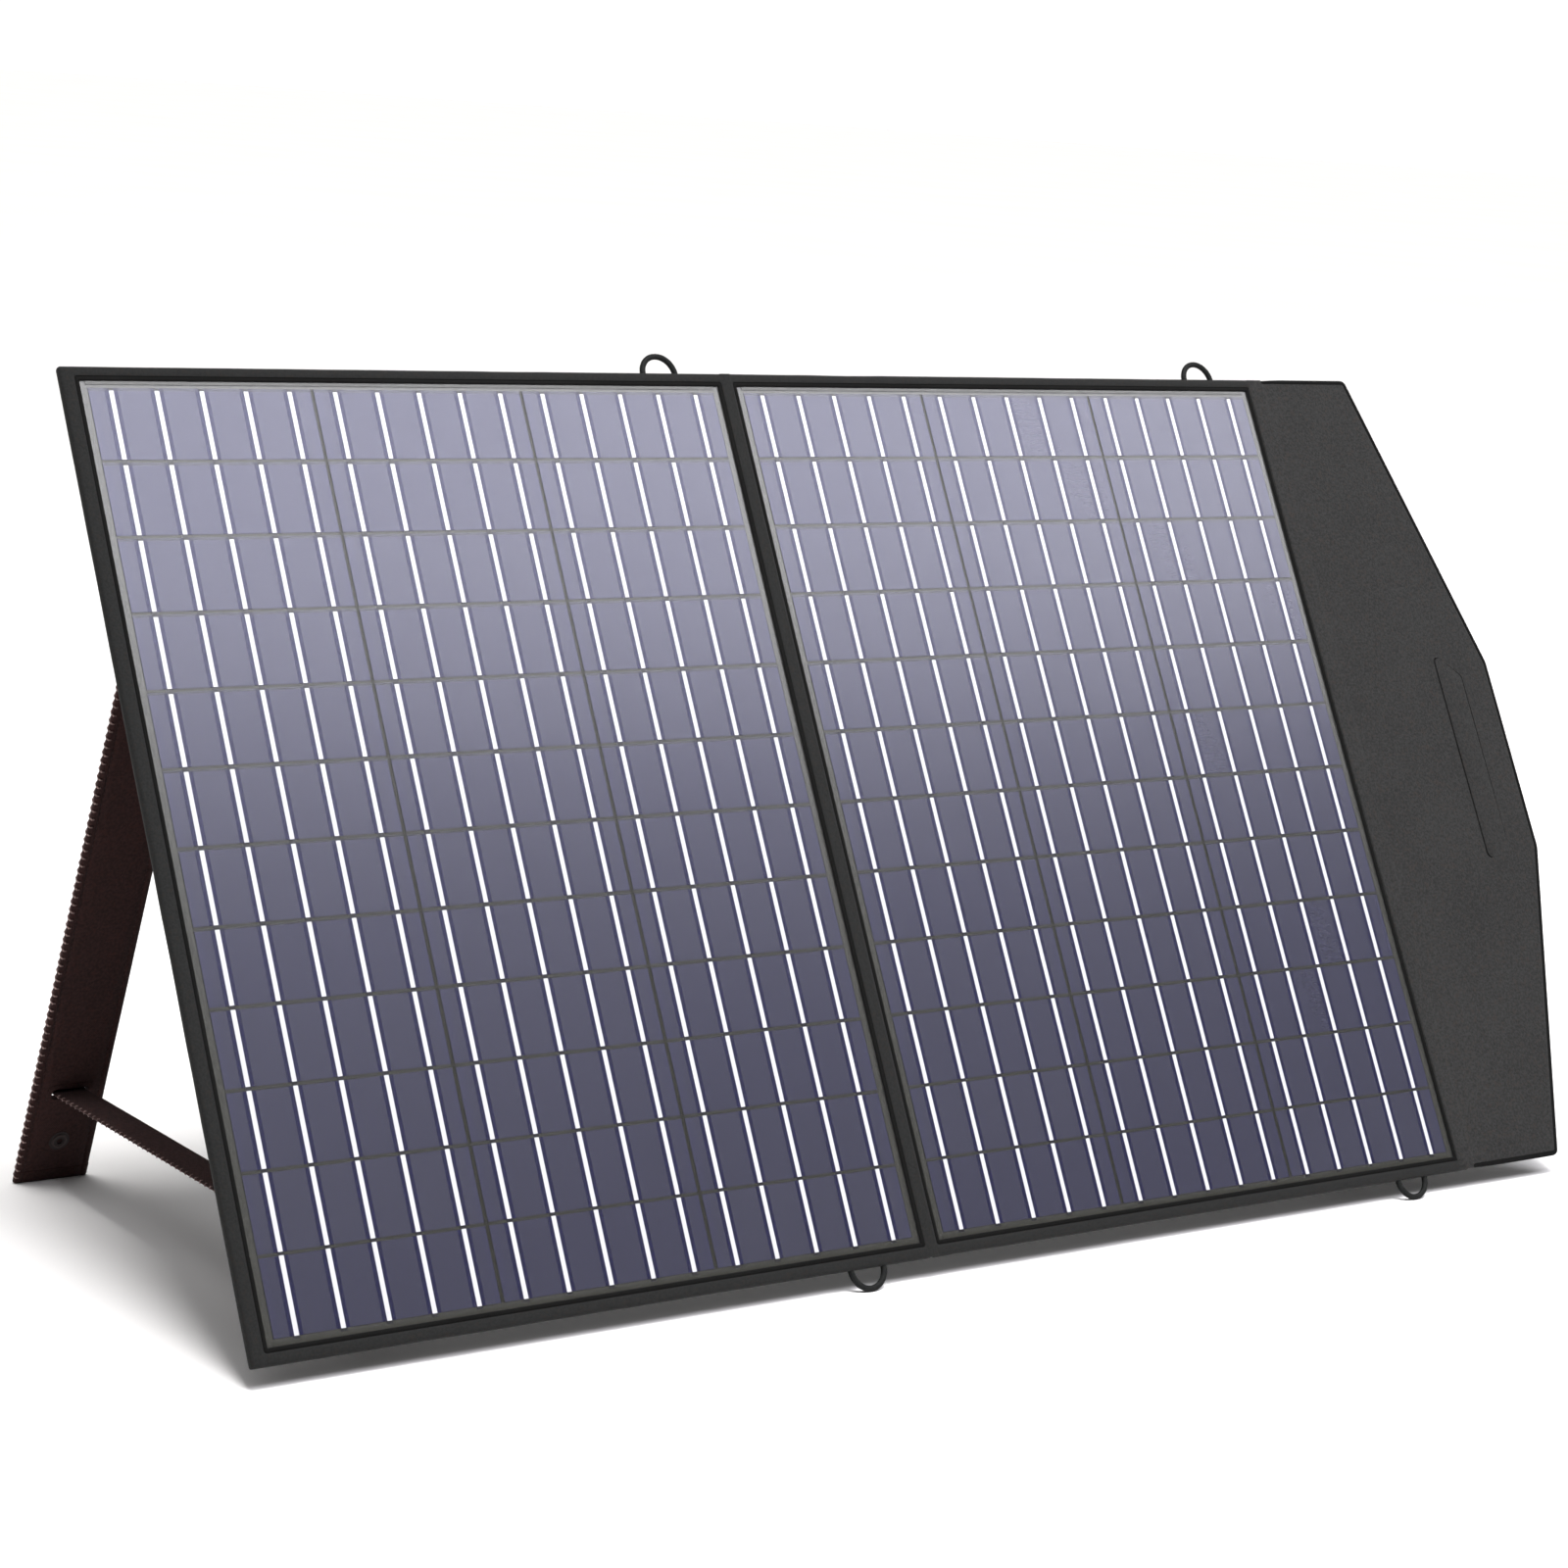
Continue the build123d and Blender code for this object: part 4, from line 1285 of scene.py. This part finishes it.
def fold_lead():
    """The short lead that carries current across the fold."""
    u, v, w = PANEL.span("fold_lead")
    radius = (v[1] - v[0]) / 2
    arch = (u[1] - u[0]) / 2 - radius
    middle = (v[0] + v[1]) / 2
    centre = PANEL.at(0, middle, w[1])
    path = []
    for i in range(41):
        angle = math.pi * i / 40
        path.append(centre + PANEL.right * arch * math.cos(angle) - PANEL.out * arch * math.sin(angle))
    rings = carried(path, oval(radius, radius, 2.0, 16), PANEL.up)
    piece = loft("fold_lead_jacket", rings, [M_LEAD], sharp=80)
    ends = (PANEL.at(-arch, 0, 0), PANEL.at(arch, 0, 0))
    bend_piece(piece, ("left_panel", "right_panel"), ends, "lead_rubber", "fold_lead")
    for side, sign in (("left", -1), ("right", 1)):
        rings = []
        for height, size in GROMMET_STEPS:
            reach = radius * size
            angles = spread(0, 2 * math.pi, 21)[:-1]
            places = [(sign * arch + reach * math.cos(a), middle + reach * math.sin(a)) for a in angles]
            rings.append([PANEL.at(a, b, w[1] + height) for a, b in places])
        grommet = loft(f"{side}_lead_grommet", rings, [M_GLAND], sharp=50)
        finish_piece(grommet, f"{side}_panel", "lead_rubber")


# ---- CAD nodes that stay ----


def dress(node, material, bevel=0.0):
    """Gives a CAD node its finish and, where it is moulded or pressed, softer edges."""
    piece = frame["nodes"][node]
    piece.data.materials.clear()
    piece.data.materials.append(material)
    if bevel:
        softener = piece.modifiers.new("soft_edges", "BEVEL")
        softener.width = bevel
        softener.segments = 2
        softener.limit_method = "ANGLE"
        softener.angle_limit = math.radians(35)


def dress_cad():
    for side in SIDES:
        dress(f"{side}_solar_cells", silicon(side))
        dress(f"{side}_backsheet", backsheet(side))
        dress(f"{side}_cell_ribbons", M_RIBBON, 0.0004)
        dress(f"{side}_front_film", M_FILM)
        dress(f"{side}_stiffener_board", M_BOARD)
        dress(f"{side}_edge_foam", M_FOAM)
        dress(f"{side}_junction_box", M_BOX, 0.0006)
        dress(f"{side}_junction_lid", M_LID, 0.0008)
        dress(f"{side}_junction_screws", M_SCREW, 0.0003)
        dress(f"{side}_bypass_diodes", M_DIODE, 0.0003)
        dress(f"{side}_snap_stud", M_STUD, 0.0003)
        dress(f"{side}_leg_board", M_BOARD)
        dress(f"{side}_leg_slot_rim", M_LEG, 0.0006)
        dress(f"{side}_leg_snap", snap_metal(side), 0.0003)
    dress("output_gland", M_GLAND, 0.0005)
    dress("flap_stiffener", M_BOARD)


# ---- studio ----


def make_camera():
    azimuth = math.radians(CAMERA_AZIMUTH)
    elevation = math.radians(CAMERA_ELEVATION)
    flat = math.cos(elevation)
    back = Vector((math.sin(azimuth) * flat, -math.cos(azimuth) * flat, math.sin(elevation)))
    level = Vector((0, 0, 1)).cross(back).normalized()
    upright = back.cross(level)
    roll = math.radians(CAMERA_ROLL)
    right = level * math.cos(roll) + upright * math.sin(roll)
    top = back.cross(right)
    data = bpy.data.cameras.new("camera")
    data.lens = CAMERA_LENS
    data.sensor_width = 36.0
    camera = bpy.data.objects.new("camera", data)
    turn = Matrix((right, top, back)).transposed()
    camera.matrix_world = Matrix.Translation(CAMERA_AIM + back * CAMERA_DISTANCE) @ turn.to_4x4()
    bpy.context.scene.collection.objects.link(camera)
    bpy.context.scene.camera = camera


def aimed(lamp, place, target):
    """A light at a place, facing a target."""
    light = bpy.data.objects.new(lamp.name, lamp)
    light.location = place
    light.rotation_mode = "QUATERNION"
    light.rotation_quaternion = (Vector(place) - Vector(target)).to_track_quat("Z", "Y")
    bpy.context.scene.collection.objects.link(light)
    return light


SOFTBOX_SIZE = (5.0, 1.7)
SOFTBOX_WATTS = 120.0
SOFTBOX_TINT = (0.95, 0.95, 1.0)
SOFTBOX_PLACE = (1.25, -1.25, 2.85)
SOFTBOX_AIM = (1.25, 0.0, 0.35)
KEY_STRENGTH = 2.15
KEY_SPREAD = math.radians(16)
KEY_TINT = (1.0, 0.99, 0.97)
KEY_PLACE = (-0.14, -0.45, 2.3)
SKY = {"From Min": 0.45, "From Max": 0.90, "To Min": 0.02, "To Max": 0.95}
BACKDROP = 1.1
FLOOR_TONES = ((0.91, 0.897, 0.895), (0.93, 0.917, 0.915))
FLOOR_RADII = (0.01, 3.0, 12.0, 60.0)
FLOOR_SIDES = 64


def make_lights():
    softbox = bpy.data.lights.new("overhead_softbox", "AREA")
    softbox.shape = "RECTANGLE"
    softbox.size, softbox.size_y = SOFTBOX_SIZE
    softbox.energy = SOFTBOX_WATTS
    softbox.color = SOFTBOX_TINT
    aimed(softbox, SOFTBOX_PLACE, SOFTBOX_AIM)
    key = bpy.data.lights.new("window_light", "SUN")
    key.energy = KEY_STRENGTH
    key.angle = KEY_SPREAD
    key.color = KEY_TINT
    aimed(key, KEY_PLACE, (0.0, 0.0, 0.0))


def make_world():
    """Pale studio surroundings: brighter overhead than near the floor, and white to look at."""
    world = bpy.data.worlds.new("studio")
    world.use_nodes = True
    bpy.context.scene.world = world
    tree = world.node_tree
    ground = tree.nodes["Background"]
    coordinates = tree.nodes.new("ShaderNodeTexCoord")
    split = tree.nodes.new("ShaderNodeSeparateXYZ")
    climb = tree.nodes.new("ShaderNodeMapRange")
    climb.interpolation_type = "SMOOTHSTEP"
    for socket, value in SKY.items():
        climb.inputs[socket].default_value = value
    tree.links.new(coordinates.outputs["Generated"], split.inputs[0])
    tree.links.new(split.outputs["Z"], climb.inputs["Value"])
    path = tree.nodes.new("ShaderNodeLightPath")
    seen = tree.nodes.new("ShaderNodeMix")
    tree.links.new(path.outputs["Is Camera Ray"], seen.inputs["Factor"])
    tree.links.new(climb.outputs["Result"], seen.inputs["A"])
    seen.inputs["B"].default_value = BACKDROP
    tree.links.new(seen.outputs["Result"], ground.inputs["Strength"])
    ground.inputs["Color"].default_value = (1.0, 1.0, 1.0, 1.0)


def make_floor():
    surface = Surface("studio_floor", 0.85)
    tone = surface.noise(1.5, 2.0)
    surface.colour(surface.blended(tone, 0.3, 0.7, *FLOOR_TONES))
    angles = spread(0, 2 * math.pi, FLOOR_SIDES + 1)[:-1]
    places = [Vector((r * math.cos(a), r * math.sin(a), 0.0)) for r in FLOOR_RADII for a in angles]
    faces = [tuple(range(FLOOR_SIDES))]
    for i in range(len(FLOOR_RADII) - 1):
        faces.extend(band_faces(i * FLOOR_SIDES, (i + 1) * FLOOR_SIDES, FLOOR_SIDES))
    floor = mesh_object("floor", places, faces, [surface.material])
    if floor.data.polygons[0].normal.z < 0:
        floor.data.flip_normals()


def build():
    make_camera()
    dress_cad()
    for side in SIDES:
        case_front(side)
        case_back(side)
        for edge in ("top", "bottom"):
            cord_loop(side, edge)
        leg(side)
        strap(side)
        leg_hinge(side)
    fold_strip()
    flap_front()
    flap_back()
    flap_rim()
    hole_trim()
    tongue()
    fold_lead()
    make_lights()
    make_world()
    make_floor()
    bpy.context.scene.view_settings.view_transform = "Standard"


build()
